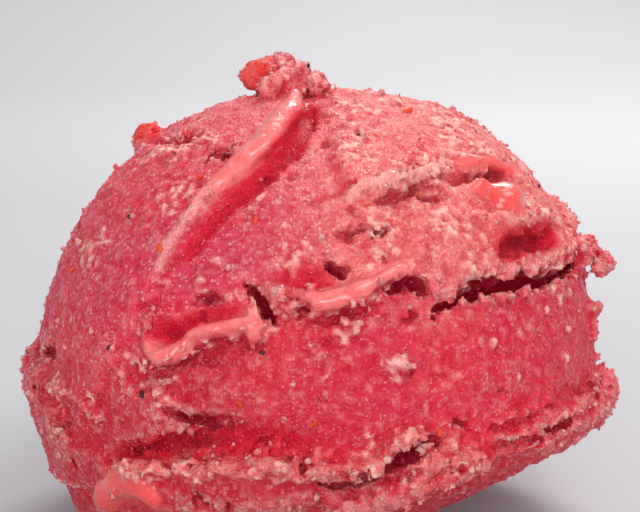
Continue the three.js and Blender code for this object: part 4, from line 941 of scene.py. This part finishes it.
def mesh_from(vertices, faces, name):
    mesh = bpy.data.meshes.new(name)
    corners = faces.shape[1]
    mesh.vertices.add(len(vertices))
    mesh.vertices.foreach_set("co", np.ascontiguousarray(vertices, np.float32).ravel())
    mesh.loops.add(faces.size)
    mesh.loops.foreach_set("vertex_index", np.ascontiguousarray(faces, np.int32).ravel())
    mesh.polygons.add(len(faces))
    mesh.polygons.foreach_set("loop_start", np.arange(len(faces), dtype=np.int32) * corners)
    mesh.polygons.foreach_set("loop_total", np.full(len(faces), corners, np.int32))
    mesh.update(calc_edges=True)
    mesh.validate()
    return mesh


def object_from(mesh):
    made = bpy.data.objects.new(mesh.name, mesh)
    bpy.context.collection.objects.link(made)
    return made


def largest_part(points, quads):
    """The mesh without the specks that the fine relief has cut loose."""
    pairs = np.vstack([quads[:, [i, (i + 1) % 4]] for i in range(4)])
    label = np.arange(len(points))
    while True:
        lower = np.minimum(label[pairs[:, 0]], label[pairs[:, 1]])
        joined = label.copy()
        np.minimum.at(joined, pairs[:, 0], lower)
        np.minimum.at(joined, pairs[:, 1], lower)
        joined = joined[joined]
        if (joined == label).all():
            break
        label = joined
    most = np.bincount(label).argmax()
    kept = label == most
    print("specks left out:", len(np.unique(label)) - 1)
    number = np.cumsum(kept) - 1
    return points[kept], number[quads[kept[quads[:, 0]]]]


def scoop_mesh():
    values, low = sampled_grid()
    grid = openvdb.FloatGrid(1.0)
    grid.copyFromArray(values.astype(np.float32))
    grid.transform = openvdb.createLinearTransform(voxelSize=FINE_STEP)
    points, quads = grid.convertToQuads(isovalue=0)
    points, quads = largest_part(points + low, quads)
    points[:, 2] = np.maximum(points[:, 2], 0)
    a, b, c, d = (points[quads[:, i]] for i in range(4))
    volume = (np.cross(b - a, c - a) * a).sum() + (np.cross(c - a, d - a) * a).sum()
    if volume < 0:
        quads = quads[:, ::-1]
    return mesh_from(points * MM, quads, "scoop_of_ice_cream")


started = time.time()
scoop = object_from(scoop_mesh())
print("the scoop has", len(scoop.data.polygons), "faces after", round(time.time() - started, 1), "s")

# %% [markdown]
# ## Fewer triangles where nothing is lost
#
# The scoop is thinned to at most 196,000 triangles. A piece may have 200,000 triangles. The
# Decimate modifier merges faces where the surface is calm and keeps them where it is rough, so
# the grain stays.

# %% Thinning
MOST_TRIANGLES = 196_000


def thin(piece):
    count = sum(len(face.vertices) - 2 for face in piece.data.polygons)
    modifier = piece.modifiers.new("thin", "DECIMATE")
    modifier.ratio = min(1, MOST_TRIANGLES / count)
    modifier.use_collapse_triangulate = True
    shown = piece.evaluated_get(bpy.context.evaluated_depsgraph_get())
    mesh = bpy.data.meshes.new_from_object(shown)
    piece.modifiers.clear()
    piece.data = mesh
    mesh.shade_smooth()
    print("thinned from", count, "to", len(mesh.polygons), "triangles")


thin(scoop)
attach(scoop, "root")
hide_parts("scoop")

# %% [markdown]
# ## What the surface knows about itself
#
# Ice cream is paler where grains catch the frost. Light and shade are painted into the colour
# too: hollows, pores and cracks get painted shade in deep red, the lower left gets painted shade,
# and the crown, the top and the collar's crests get painted light. All of it follows the shape.
# Smoothing the mesh and seeing which way each point moves tells hollows from edges, and leaving
# the cuts out of the field tells how deep a point lies in a crack. These masks are stored on the
# mesh for the material to read.

# %% Masks
FINE_ROUNDS, BROAD_ROUNDS = 4, 40


def coordinates(mesh):
    found = np.empty(len(mesh.vertices) * 3, np.float32)
    mesh.vertices.foreach_get("co", found)
    return found.reshape(-1, 3).astype(float) / MM


def normals(mesh):
    found = np.empty(len(mesh.vertices) * 3, np.float32)
    mesh.vertex_normals.foreach_get("vector", found)
    return found.reshape(-1, 3).astype(float)


def hollowness(mesh, points, outward, rounds):
    """How far each point would move outward if the surface were smoothed so many times."""
    pairs = np.empty(len(mesh.edges) * 2, np.int32)
    mesh.edges.foreach_get("vertices", pairs)
    a, b = pairs.reshape(-1, 2).T
    degree = np.bincount(np.concatenate([a, b]), minlength=len(points))[:, None]
    soft = points.copy()
    for _ in range(rounds):
        total = np.stack([
            np.bincount(a, soft[b, i], len(points)) + np.bincount(b, soft[a, i], len(points))
            for i in range(3)], axis=1)
        soft = total / np.maximum(degree, 1)
    return ((soft - points) * outward).sum(axis=1)


def depth_in_cuts(points):
    """How deep each point lies inside what the scoop would be with nothing cut from it."""
    q = frayed(points)
    value = body(q)
    for form in SHEETS + [one for one in FORMS if one.how is join]:
        form.lay(value, q)
    return -value


def painted_low_left_shade(points):
    """Painted shade: the ice cream is painted a deeper red low down on the left, where less light falls."""
    return smooth(30, 14, points[:, 2]) * smooth(12, -14, points[:, 0])


def painted_light(points):
    """Painted light: the crown, the top and the collar's crests are painted lighter than the dome and the
    face.
    """
    cap, dome = CAP.inside(points), DOME.inside(points)
    crown = smooth(-0.5, 2, cap) * smooth(0.5, -3, dome) * smooth(-10, 6, points[:, 0])
    crests = 0.8 * nearness(points, 0.9, COLLAR_CRESTS)
    return np.maximum.reduce([crown, 0.5 * smooth(40, 50, points[:, 2]), crests])


def store(mesh, name, values):
    layer = mesh.attributes.new(name, "FLOAT", "POINT")
    layer.data.foreach_set("value", np.ascontiguousarray(values, np.float32))


def add_masks(piece):
    mesh = piece.data
    points, outward = coordinates(mesh), normals(mesh)
    p = unsquashed(points)
    fine = hollowness(mesh, points, outward, FINE_ROUNDS)
    broad = hollowness(mesh, points, outward, BROAD_ROUNDS)
    wet = nearness(p)
    crest = smooth(0.2, 0.7, -broad) * (1 - wet)
    crumb, grain, own, grain_own = crumb_relief(p)
    frost = np.maximum(crumb * mix(0.5, 1, own[:, 2]), 0.5 * crest * grain_own[:, 1])
    frost = np.maximum(frost, 0.5 * nearness(p, 0.4, PALE_DRY))
    # Several of these masks carry painted light and shade: shade in broad hollows, in pores, deep in cuts,
    # in the named hollows (the puddle's red is its own) and low on the left, and light on the crown, the
    # top and the collar's crests.
    store(mesh, "hollow_shade", smooth(0.05, 0.6, broad))
    store(mesh, "frost", np.maximum(frost, 0.5 * grain * grain_own[:, 2]) * (1 - wet))
    store(mesh, "tint", 0.6 * grain_own[:, 1] + 0.4 * own[:, 1])
    store(mesh, "pore_shade", smooth(0.0, 0.08, fine))
    store(mesh, "deep", smooth(0.5, 2.4, depth_in_cuts(p)))
    store(mesh, "wet", wet)
    store(mesh, "melt", nearness(p, forms=PALE_WET))
    store(mesh, "juice_and_shade", nearness(p, 0.9, SHADED_AND_JUICY))
    store(mesh, "orange", nearness(p, forms=ORANGE))
    store(mesh, "pale", painted_light(p))
    store(mesh, "low_left_shade", painted_low_left_shade(p))
    face = smooth(0.3, -1.2, CAP.inside(p)) * smooth(19, 21, np.hypot(points[:, 0], points[:, 1]))
    store(mesh, "scraped", np.maximum(smooth(0.9, 0.3, np.abs(cone_distance(points))), 0.8 * face))
    bare = np.maximum(nearness(p, 1.4), nearness(p, 0.3, SMOOTH_FORMS + PALE_DRY))
    print("hollow up to", broad.max().round(2), "mm, edges", broad.min().round(2), "mm")
    return points, outward, crest, bare


surface, outward, crest, bare = add_masks(scoop)

# %% [markdown]
# ## Writing shaders as sums
#
# A node tree drawn link by link is hard to read. This small class wraps a socket, so that an
# expression such as `1 - mask` adds its own Math node. Colours go through Mix nodes instead,
# because a Math node would turn them grey.

# %% A socket that can be added and multiplied


class Value:
    def __init__(self, tree, socket):
        self.tree, self.socket = tree, socket

    def node(self, kind, settings=(), **inputs):
        """Any node: its type, its settings, and the values or links of its sockets."""
        made = self.tree.nodes.new(kind)
        for name, value in dict(settings).items():
            setattr(made, name, value)
        for name, value in inputs.items():
            socket = made.inputs[int(name[1:])] if name[0] == "_" else made.inputs[name.replace("_", " ")]
            if isinstance(value, Value):
                self.tree.links.new(value.socket, socket)
            else:
                socket.default_value = value
        return made

    def math(self, operation, a, b):
        made = self.node("ShaderNodeMath", {"operation": operation}, _0=a, _1=b)
        return Value(self.tree, made.outputs[0])

    def __add__(self, other):
        return self.math("ADD", self, other)

    def __sub__(self, other):
        return self.math("SUBTRACT", self, other)

    def __rsub__(self, other):
        return self.math("SUBTRACT", other, self)

    def __mul__(self, other):
        return self.math("MULTIPLY", self, other)

    __radd__, __rmul__ = __add__, __mul__

    def between(self, low, high, to_low=0.0, to_high=1.0):
        made = self.node("ShaderNodeMapRange", {"interpolation_type": "SMOOTHSTEP"}, Value=self,
                         From_Min=low, From_Max=high, To_Min=to_low, To_Max=to_high)
        return Value(self.tree, made.outputs[0])

    def blend(self, first, second):
        """The first colour where this is 0, and the second where it is 1."""
        made = self.node("ShaderNodeMix", {"data_type": "RGBA"}, _0=self, _6=first, _7=second)
        return Value(self.tree, made.outputs[2])


def material(name):
    made = bpy.data.materials.new(name)
    made.use_nodes = True
    tree = made.node_tree
    tree.nodes.clear()
    start = Value(tree, None)
    shader = start.node("ShaderNodeBsdfPrincipled")
    out = start.node("ShaderNodeOutputMaterial")
    tree.links.new(shader.outputs[0], out.inputs[0])
    return made, start, shader


def linear(red, green, blue):
    """A colour as a screen shows it, 0 to 255, as the light that it stands for."""
    def one(v):
        v /= 255
        return v / 12.92 if v <= 0.04045 else ((v + 0.055) / 1.055) ** 2.4

    return (one(red), one(green), one(blue), 1.0)


# %% [markdown]
# ## The ice cream
#
# Light goes into ice cream and comes out again a millimetre or so away, reddened by the fruit.
# That is subsurface scattering: it softens the grain's shadows and makes thin lips glow. The
# base colour runs from frosty pink on edges to deep red in pores and cracks, which is painted
# shade, and deep cuts also get a painted glow. Dry ice cream is rather rough; wet rolls get a
# coat, which gives them their tight highlights. Loose crumbs are too small for so much
# scattering, which would turn them grey, so their material has little.

# %% The ice cream's material
BERRY = linear(220, 54, 80)
COOL_BERRY = linear(208, 44, 88)
LOW_LEFT_SHADE_RED = linear(192, 16, 50)
# a deeper berry tone, also used as painted shade in the gaps between grains
DEEP_BERRY_AND_SHADE = linear(198, 16, 44)
# painted light: the lighter tone of the crown, the top and the collar's crests
PAINTED_LIGHT_PEACH = linear(232, 128, 116)
ORANGE_JUICE = linear(222, 48, 34)
FROST = linear(252, 204, 190)
# painted shade: the deep red of pores and hollows, and also the real red of the puddle
SHADE_RED_AND_JUICE = linear(204, 14, 44)
# painted shade: the darker red painted deep in cuts
CUT_SHADE_RED = linear(128, 0, 22)
MELT = linear(230, 132, 128)
RED_MELT = linear(232, 82, 76)
# painted glow: deep cuts emit a little red light, standing in for light that seeps through
DARK, PAINTED_GLOW_IN_CUTS = (0.0, 0.0, 0.0, 1.0), linear(70, 1, 10)  # light seeps into deep cuts from all round
ICE_BENDS_LIGHT = 1.36
SCATTER_RADIUS = (1.0, 0.25, 0.2)
SCATTER_SCALE = 0.9 * MM
PATCH, MOTTLE, STREAK, SPECKLE, ICE_GRAIN, ICE_CRYSTAL = 9.0, 1.8, 0.9, 0.26, 0.34, 0.2
BUMP_DEPTH = 0.26 * MM
DRY_ROUGHNESS, CRYSTAL_POLISH, WET_POLISH, COAT_ROUGHNESS = 0.55, 0.35, 0.3, 0.08
DULL_GLOSS = 0.35
SPREAD, LOOSE_SPREAD = 0.9, 0.1  # how much of the light scatters inside


def ice_cream(name, scattering):
    made, start, shader = material(name)

    def mask(name):
        node = start.node("ShaderNodeAttribute", {"attribute_name": name})
        return Value(start.tree, node.outputs["Fac"])

    place = Value(start.tree, start.node("ShaderNodeTexCoord").outputs["Object"])

    def noise(size, detail=2.0, roughness=0.5):
        node = start.node("ShaderNodeTexNoise", Vector=place, Scale=1 / (size * MM), Detail=detail,
                          Roughness=roughness)
        return Value(start.tree, node.outputs[0])

    def cells(size):
        """Packed cells: how near each one's middle is, and each one's own random number."""
        node = start.node("ShaderNodeTexVoronoi", {"feature": "F1"}, Vector=place, Scale=1 / (size * MM))
        own = start.node("ShaderNodeSeparateColor", Color=Value(start.tree, node.outputs["Color"]))
        return 1 - Value(start.tree, node.outputs["Distance"]), Value(start.tree, own.outputs[0])

    hollow_shade, frost, tint, pore_shade = map(mask, ("hollow_shade", "frost", "tint", "pore_shade"))
    deep, scraped, wet, melt = map(mask, ("deep", "scraped", "wet", "melt"))
    juice_and_shade, orange, pale, low_left_shade = map(mask, ("juice_and_shade", "orange", "pale", "low_left_shade"))
    patches = noise(PATCH, 3.0).between(0.4, 0.6)
    mottle = noise(MOTTLE, 4.0, 0.7)
    speckle = noise(SPECKLE, 2.0, 0.6)
    streaks = noise(STREAK, 3.0).between(0.35, 0.65)
    grain_near, grain_own = cells(ICE_GRAIN)
    crystal_near, crystal_own = cells(ICE_CRYSTAL)

    # the ice cream's own colour from place to place, with painted light and shade mixed in
    base = patches.blend(BERRY, COOL_BERRY)
    # painted shade: a deeper red low down on the left
    base = (low_left_shade * 0.7).blend(base, LOW_LEFT_SHADE_RED)
    # painted light on the crown, the top and the collar's crests
    base = (pale * (mottle.between(0.3, 0.6) * 0.4 + 0.4)).blend(base, PAINTED_LIGHT_PEACH)
    base = (scraped * 0.6 + mottle.between(0.5, 0.3) * 0.6).blend(base, DEEP_BERRY_AND_SHADE)
    # painted shade in the gaps between grains, and each grain's own random tone
    base = (grain_near.between(0.5, 0.2) * 0.45 + tint.between(0.3, 0.05) * 0.3).blend(base, DEEP_BERRY_AND_SHADE)
    # frost and lit grains
    lit_grains = grain_own.between(0.6, 1.0) * grain_near.between(0.3, 0.7)
    lit = lit_grains * 0.4 + crystal_own.between(0.8, 1.0) * 0.2
    base = (lit * (mottle.between(0.3, 0.6) + 0.2) * (1 - scraped * 0.6)).blend(base, FROST)
    base = (frost * (speckle.between(0.3, 0.55) * 0.35 + 0.6)).blend(base, FROST)
    # painted shade in pores, the wet rolls and their melt, painted shade in the named hollows (the
    # puddle's red is its own), the orange knob and nub, and painted shade in broad hollows and deep in cuts
    base = (pore_shade * 0.4).blend(base, SHADE_RED_AND_JUICE)
    base = (wet * 0.9).blend(base, RED_MELT)
    base = (melt * (streaks * 0.5 + 0.4)).blend(base, MELT)
    base = (juice_and_shade * 0.9).blend(base, SHADE_RED_AND_JUICE)
    base = (orange * 0.75).blend(base, ORANGE_JUICE)
    base = (hollow_shade * 0.4).blend(base, SHADE_RED_AND_JUICE)
    base = deep.blend(base, CUT_SHADE_RED)
    start.tree.links.new(base.socket, shader.inputs["Base Color"])
    # painted glow deep in cuts
    start.tree.links.new(deep.blend(DARK, PAINTED_GLOW_IN_CUTS).socket, shader.inputs["Emission Color"])
    shader.inputs["Emission Strength"].default_value = 1.0

    rough = DRY_ROUGHNESS - CRYSTAL_POLISH * crystal_own * (1 - wet) - WET_POLISH * wet
    start.tree.links.new(rough.socket, shader.inputs["Roughness"])
    start.tree.links.new(wet.socket, shader.inputs["Coat Weight"])
    shader.inputs["Coat Roughness"].default_value = COAT_ROUGHNESS
    shader.inputs["IOR"].default_value = ICE_BENDS_LIGHT
    shader.inputs["Specular IOR Level"].default_value = DULL_GLOSS
    shader.inputs["Subsurface Weight"].default_value = scattering
    shader.inputs["Subsurface Radius"].default_value = SCATTER_RADIUS
    shader.inputs["Subsurface Scale"].default_value = SCATTER_SCALE

    grain = grain_near * grain_own + crystal_near * crystal_own * 0.7 + speckle * 0.5
    height = grain * (1 - wet * 0.95) + streaks * wet * 0.3
    bump = start.node("ShaderNodeBump", Strength=1.0, Distance=BUMP_DEPTH, Height=height)
    start.tree.links.new(bump.outputs[0], shader.inputs["Normal"])
    return made


ICE_CREAM = ice_cream("ice_cream", SPREAD)
LOOSE_ICE = ice_cream("loose_ice_cream", LOOSE_SPREAD)
scoop.data.materials.append(ICE_CREAM)
print("the ice cream's material has", len(ICE_CREAM.node_tree.nodes), "nodes")

# %% [markdown]
# ## What lies on the surface
#
# A dry scoop sheds crumbs along its torn edges and shows single ice crystals that catch the
# light. Berry seeds and bits of orange fruit are churned in. Each kind is one piece of real
# mesh: a small rounded or faceted form, repeated with its own size, turn and place. Where they
# fall is drawn at random, but weighed by the masks, so crumbs gather on crests and none lie on
# wet rolls. Only the seeds and the bits of fruit on the front lie where the picture has them.

# %% Scattering small forms
DICE = np.random.default_rng(20)


def small_form(subdivisions):
    """The vertices and triangles of a ball made of few triangles."""
    form = bmesh.new()
    bmesh.ops.create_icosphere(form, subdivisions=subdivisions, radius=1)
    form.verts.ensure_lookup_table()
    vertices = np.array([tuple(v.co) for v in form.verts])
    triangles = np.array([[v.index for v in face.verts] for face in form.faces])
    form.free()
    return vertices, triangles


def random_turns(count):
    """Rotations that point every way equally often."""
    w, x, y, z = unit(DICE.normal(size=(count, 4))).T
    return np.stack([
        np.stack([1 - 2 * (y * y + z * z), 2 * (x * y - w * z), 2 * (x * z + w * y)], axis=1),
        np.stack([2 * (x * y + w * z), 1 - 2 * (x * x + z * z), 2 * (y * z - w * x)], axis=1),
        np.stack([2 * (x * z - w * y), 2 * (y * z + w * x), 1 - 2 * (x * x + y * y)], axis=1)], axis=1)


def scatter(name, places, sizes, shape, finish, form, rough=0.2, frost=(0, 0), rounded=True):
    """One piece of many small forms. shape is their length, width and height next to their size."""
    vertices, triangles = form
    count = len(places)
    grown = vertices[None] * DICE.uniform(1 - rough, 1 + rough, (count, len(vertices), 1))
    grown = grown * np.array(shape) * np.reshape(sizes, (-1, 1, 1))
    turned = np.einsum("nij,nvj->nvi", random_turns(count), grown) + places[:, None, :]
    faces = triangles[None] + (np.arange(count) * len(vertices))[:, None, None]
    mesh = mesh_from(turned.reshape(-1, 3) * MM, faces.reshape(-1, 3), name)
    if rounded:
        mesh.shade_smooth()
    store(mesh, "frost", np.repeat(DICE.uniform(*frost, count), len(vertices)))
    piece = object_from(mesh)
    piece.data.materials.append(finish)
    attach(piece, "root")
    print(name, "has", count, "forms and", len(mesh.polygons), "triangles")


def drawn_places(weights, count, lift):
    """Random places on the surface, likelier where the weights are high, moved out by lift."""
    chosen = DICE.choice(len(surface), size=count, replace=False, p=weights / weights.sum())
    return surface[chosen] + outward[chosen] * np.reshape(lift, (-1, 1))


def place_at(way):
    """The surface point that a way from the ball's centre meets."""
    return surface[np.argmax(unit(surface - CENTRE) @ way)]


# %% Crumbs, crystals, seeds and bits of fruit
ROUND, COARSE = small_form(2), small_form(1)
EIGHT_FACED = (np.vstack([np.eye(3), -np.eye(3)]), np.array([
    [0, 1, 2], [1, 3, 2], [3, 4, 2], [4, 0, 2], [1, 0, 5], [3, 1, 5], [4, 3, 5], [0, 4, 5]]))


def plain(name, colour, roughness, scattering=0.0):
    made, start, shader = material(name)
    shader.inputs["Base Color"].default_value = colour
    shader.inputs["Roughness"].default_value = roughness
    shader.inputs["IOR"].default_value = ICE_BENDS_LIGHT
    shader.inputs["Subsurface Weight"].default_value = scattering
    shader.inputs["Subsurface Radius"].default_value = SCATTER_RADIUS
    shader.inputs["Subsurface Scale"].default_value = SCATTER_SCALE
    return made


def mixed_sizes(count, least, extra, rarity):
    """Sizes from least up to extra more, most of them small where the rarity is high."""
    return least + extra * DICE.random(count) ** rarity


OFF_CREST_CRUMBS, OFF_CREST_GRAINS = 0.012, 0.025  # how likely they lie away from a crest
high_up = smooth(0.5, 4, surface[:, 2])
dry = (1 - bare) * high_up
CRUMBS, GRAINS, CRYSTALS = ((700, 1200, 14000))
crumb_sizes = mixed_sizes(CRUMBS, 0.16, 0.22, 3)
scatter("loose_crumbs", drawn_places(dry * (OFF_CREST_CRUMBS + crest), CRUMBS, crumb_sizes * 0.05),
        crumb_sizes, (1.3, 1, 0.8), LOOSE_ICE, ROUND, rough=0.3, frost=(0.2, 0.7))
grain_sizes = mixed_sizes(GRAINS, 0.12, 0.14, 2)
scatter("ice_grains", drawn_places(dry * (OFF_CREST_GRAINS + crest), GRAINS, 0.0), grain_sizes,
        (1.4, 1, 0.8), LOOSE_ICE, COARSE, rough=0.4, frost=(0, 0.6))
crystal_sizes = mixed_sizes(CRYSTALS, 0.05, 0.08, 3)
scatter("ice_crystals", drawn_places(dry, CRYSTALS, crystal_sizes * 0.2), crystal_sizes, (1.6, 1, 0.7),
        plain("ice", linear(244, 120, 132), 0.3), EIGHT_FACED, rough=0.4, rounded=False)

SEEDS = [(-18.1, 12.1), (-19, 0.2), (-16.4, -4), (-5.3, -0.3), (17.2, 17.4)]
FLECKS = [(-11.3, 15.7), (-14.6, 8.8), (-5.8, 11.7), (-27.2, -2.3), (11.9, -7.3), (24.4, 5.9), (0, -6.6),
          (-7.3, -5.1), (10.4, 15.4), (9.6, 23.8), (5, 13.4), (-24, 7.6)]
OTHER_SEEDS, OTHER_FLECKS = 14, 22


def fruit_places(drawn, others):
    """The surface points of the drawn places, and random ones on the sides that the picture lacks."""
    unseen = dry * smooth(-6, 6, surface[:, 1])
    known = np.array([place_at(way) for way in ways(FRONT, drawn)])
    return np.vstack([known, drawn_places(unseen, others, 0.0)])


seed_places = fruit_places(SEEDS, OTHER_SEEDS)
scatter("berry_seeds", seed_places, DICE.uniform(0.24, 0.36, len(seed_places)), (1.2, 0.9, 0.7),
        plain("seed", linear(74, 20, 34), 0.35), ROUND, rough=0.1)
fleck_places = fruit_places(FLECKS, OTHER_FLECKS)
scatter("fruit_flecks", fleck_places, DICE.uniform(0.3, 0.55, len(fleck_places)), (1.4, 0.8, 0.35),
        plain("fruit", linear(214, 66, 20), 0.3, scattering=0.5), ROUND, rough=0.3)

# %% [markdown]
# ## The studio
#
# A pale floor that sweeps up into a backdrop gives the soft grey behind the scoop, with no
# horizon. Light is painted on it: its grey turns lighter towards the back and the right. A warm
# soft light stands high on the right, a stronger and cooler one stands low in front and fills
# the shadows, and a small one behind gives the lips their shine.

# %% Floor, backdrop and lights
NEAR_GREY, FAR_GREY = linear(180, 181, 184), linear(214, 214, 217)
ROOM = 0.52
# each light's place and size in metres, its power and its colour
LIGHTS = {
    "key": ((0.21, -0.18, 0.44), (0.28, 0.22), 1.0, (1.0, 0.96, 0.92)),
    "fill": ((-0.06, -0.52, 0.14), (0.35, 0.3), 1.9, (0.92, 0.94, 1.0)),
    "shine": ((0.06, 0.30, 0.34), (0.16, 0.07), 1.3, (1.0, 0.97, 0.95)),
}
LIT_POINT = (0, 0, 0.02)
FLOOR_FRONT, FLOOR_BACK, FLOOR_BEND, WALL_TOP, FLOOR_HALF = -0.6, 0.35, 0.25, 0.9, 0.9
BEND_TURNS = range(0, 91, 6)  # degrees
PALER_FROM, PALER_TO, PALER_ASIDE, MORE_ASIDE = 0.08, 0.5, 0.2, 0.3
FLOOR_ROUGHNESS = 0.9


def make_floor():
    """One sheet: flat under the scoop, then a quarter circle up into a wall."""
    profile = [(FLOOR_FRONT, 0.0)]
    for turn in map(math.radians, BEND_TURNS):
        profile.append((FLOOR_BACK + FLOOR_BEND * math.sin(turn), FLOOR_BEND - FLOOR_BEND * math.cos(turn)))
    profile.append((FLOOR_BACK + FLOOR_BEND, WALL_TOP))
    vertices = [(x, y, z) for y, z in profile for x in (-FLOOR_HALF, FLOOR_HALF)]
    faces = [(2 * i, 2 * i + 1, 2 * i + 3, 2 * i + 2) for i in range(len(profile) - 1)]
    floor = object_from(mesh_from(np.array(vertices), np.array(faces), "floor"))
    floor.data.shade_smooth()
    made, start, shader = material("backdrop")
    place = start.node("ShaderNodeTexCoord")
    axes = start.node("ShaderNodeSeparateXYZ", Vector=Value(start.tree, place.outputs["Object"]))
    across, back_there = (Value(start.tree, axes.outputs[name]) for name in "XY")
    # painted light: the backdrop's grey turns lighter towards the back and the right
    paler = back_there.between(PALER_FROM, PALER_TO)
    paler += across.between(-PALER_ASIDE, PALER_ASIDE, -MORE_ASIDE, MORE_ASIDE)
    start.tree.links.new(paler.blend(NEAR_GREY, FAR_GREY).socket, shader.inputs["Base Color"])
    shader.inputs["Roughness"].default_value = FLOOR_ROUGHNESS
    floor.data.materials.append(made)
    floor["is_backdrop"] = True


def soft_light(name, place, size, power, colour):
    data = bpy.data.lights.new(name, "AREA")
    data.shape = "RECTANGLE"
    data.size, data.size_y = size
    data.energy = power
    data.color = colour
    made = bpy.data.objects.new(name, data)
    made.location = place
    aim = np.array(LIT_POINT) - np.array(place)
    yaw = math.atan2(aim[1], aim[0]) - math.pi / 2
    pitch = math.atan2(math.hypot(aim[0], aim[1]), -aim[2])
    made.rotation_euler = (pitch, 0, yaw)
    bpy.context.collection.objects.link(made)


def light_the_room():
    world = bpy.data.worlds.new("room")
    world.use_nodes = True
    world.node_tree.nodes["Background"].inputs[0].default_value = (1, 1, 1, 1)
    world.node_tree.nodes["Background"].inputs[1].default_value = ROOM
    bpy.context.scene.world = world
    for name, (place, size, power, colour) in LIGHTS.items():
        soft_light(name, place, size, power, colour)


make_floor()
light_the_room()
bpy.context.scene.view_settings.view_transform = "Standard"

# %% [markdown]
# ## Finish
#
# The last cell works out the finished model's box and prints it.

# %% Sizes, and the end
low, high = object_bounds()
print("the finished box, in mm:", [round(1000 * v, 1) for v in (*low, *high)])
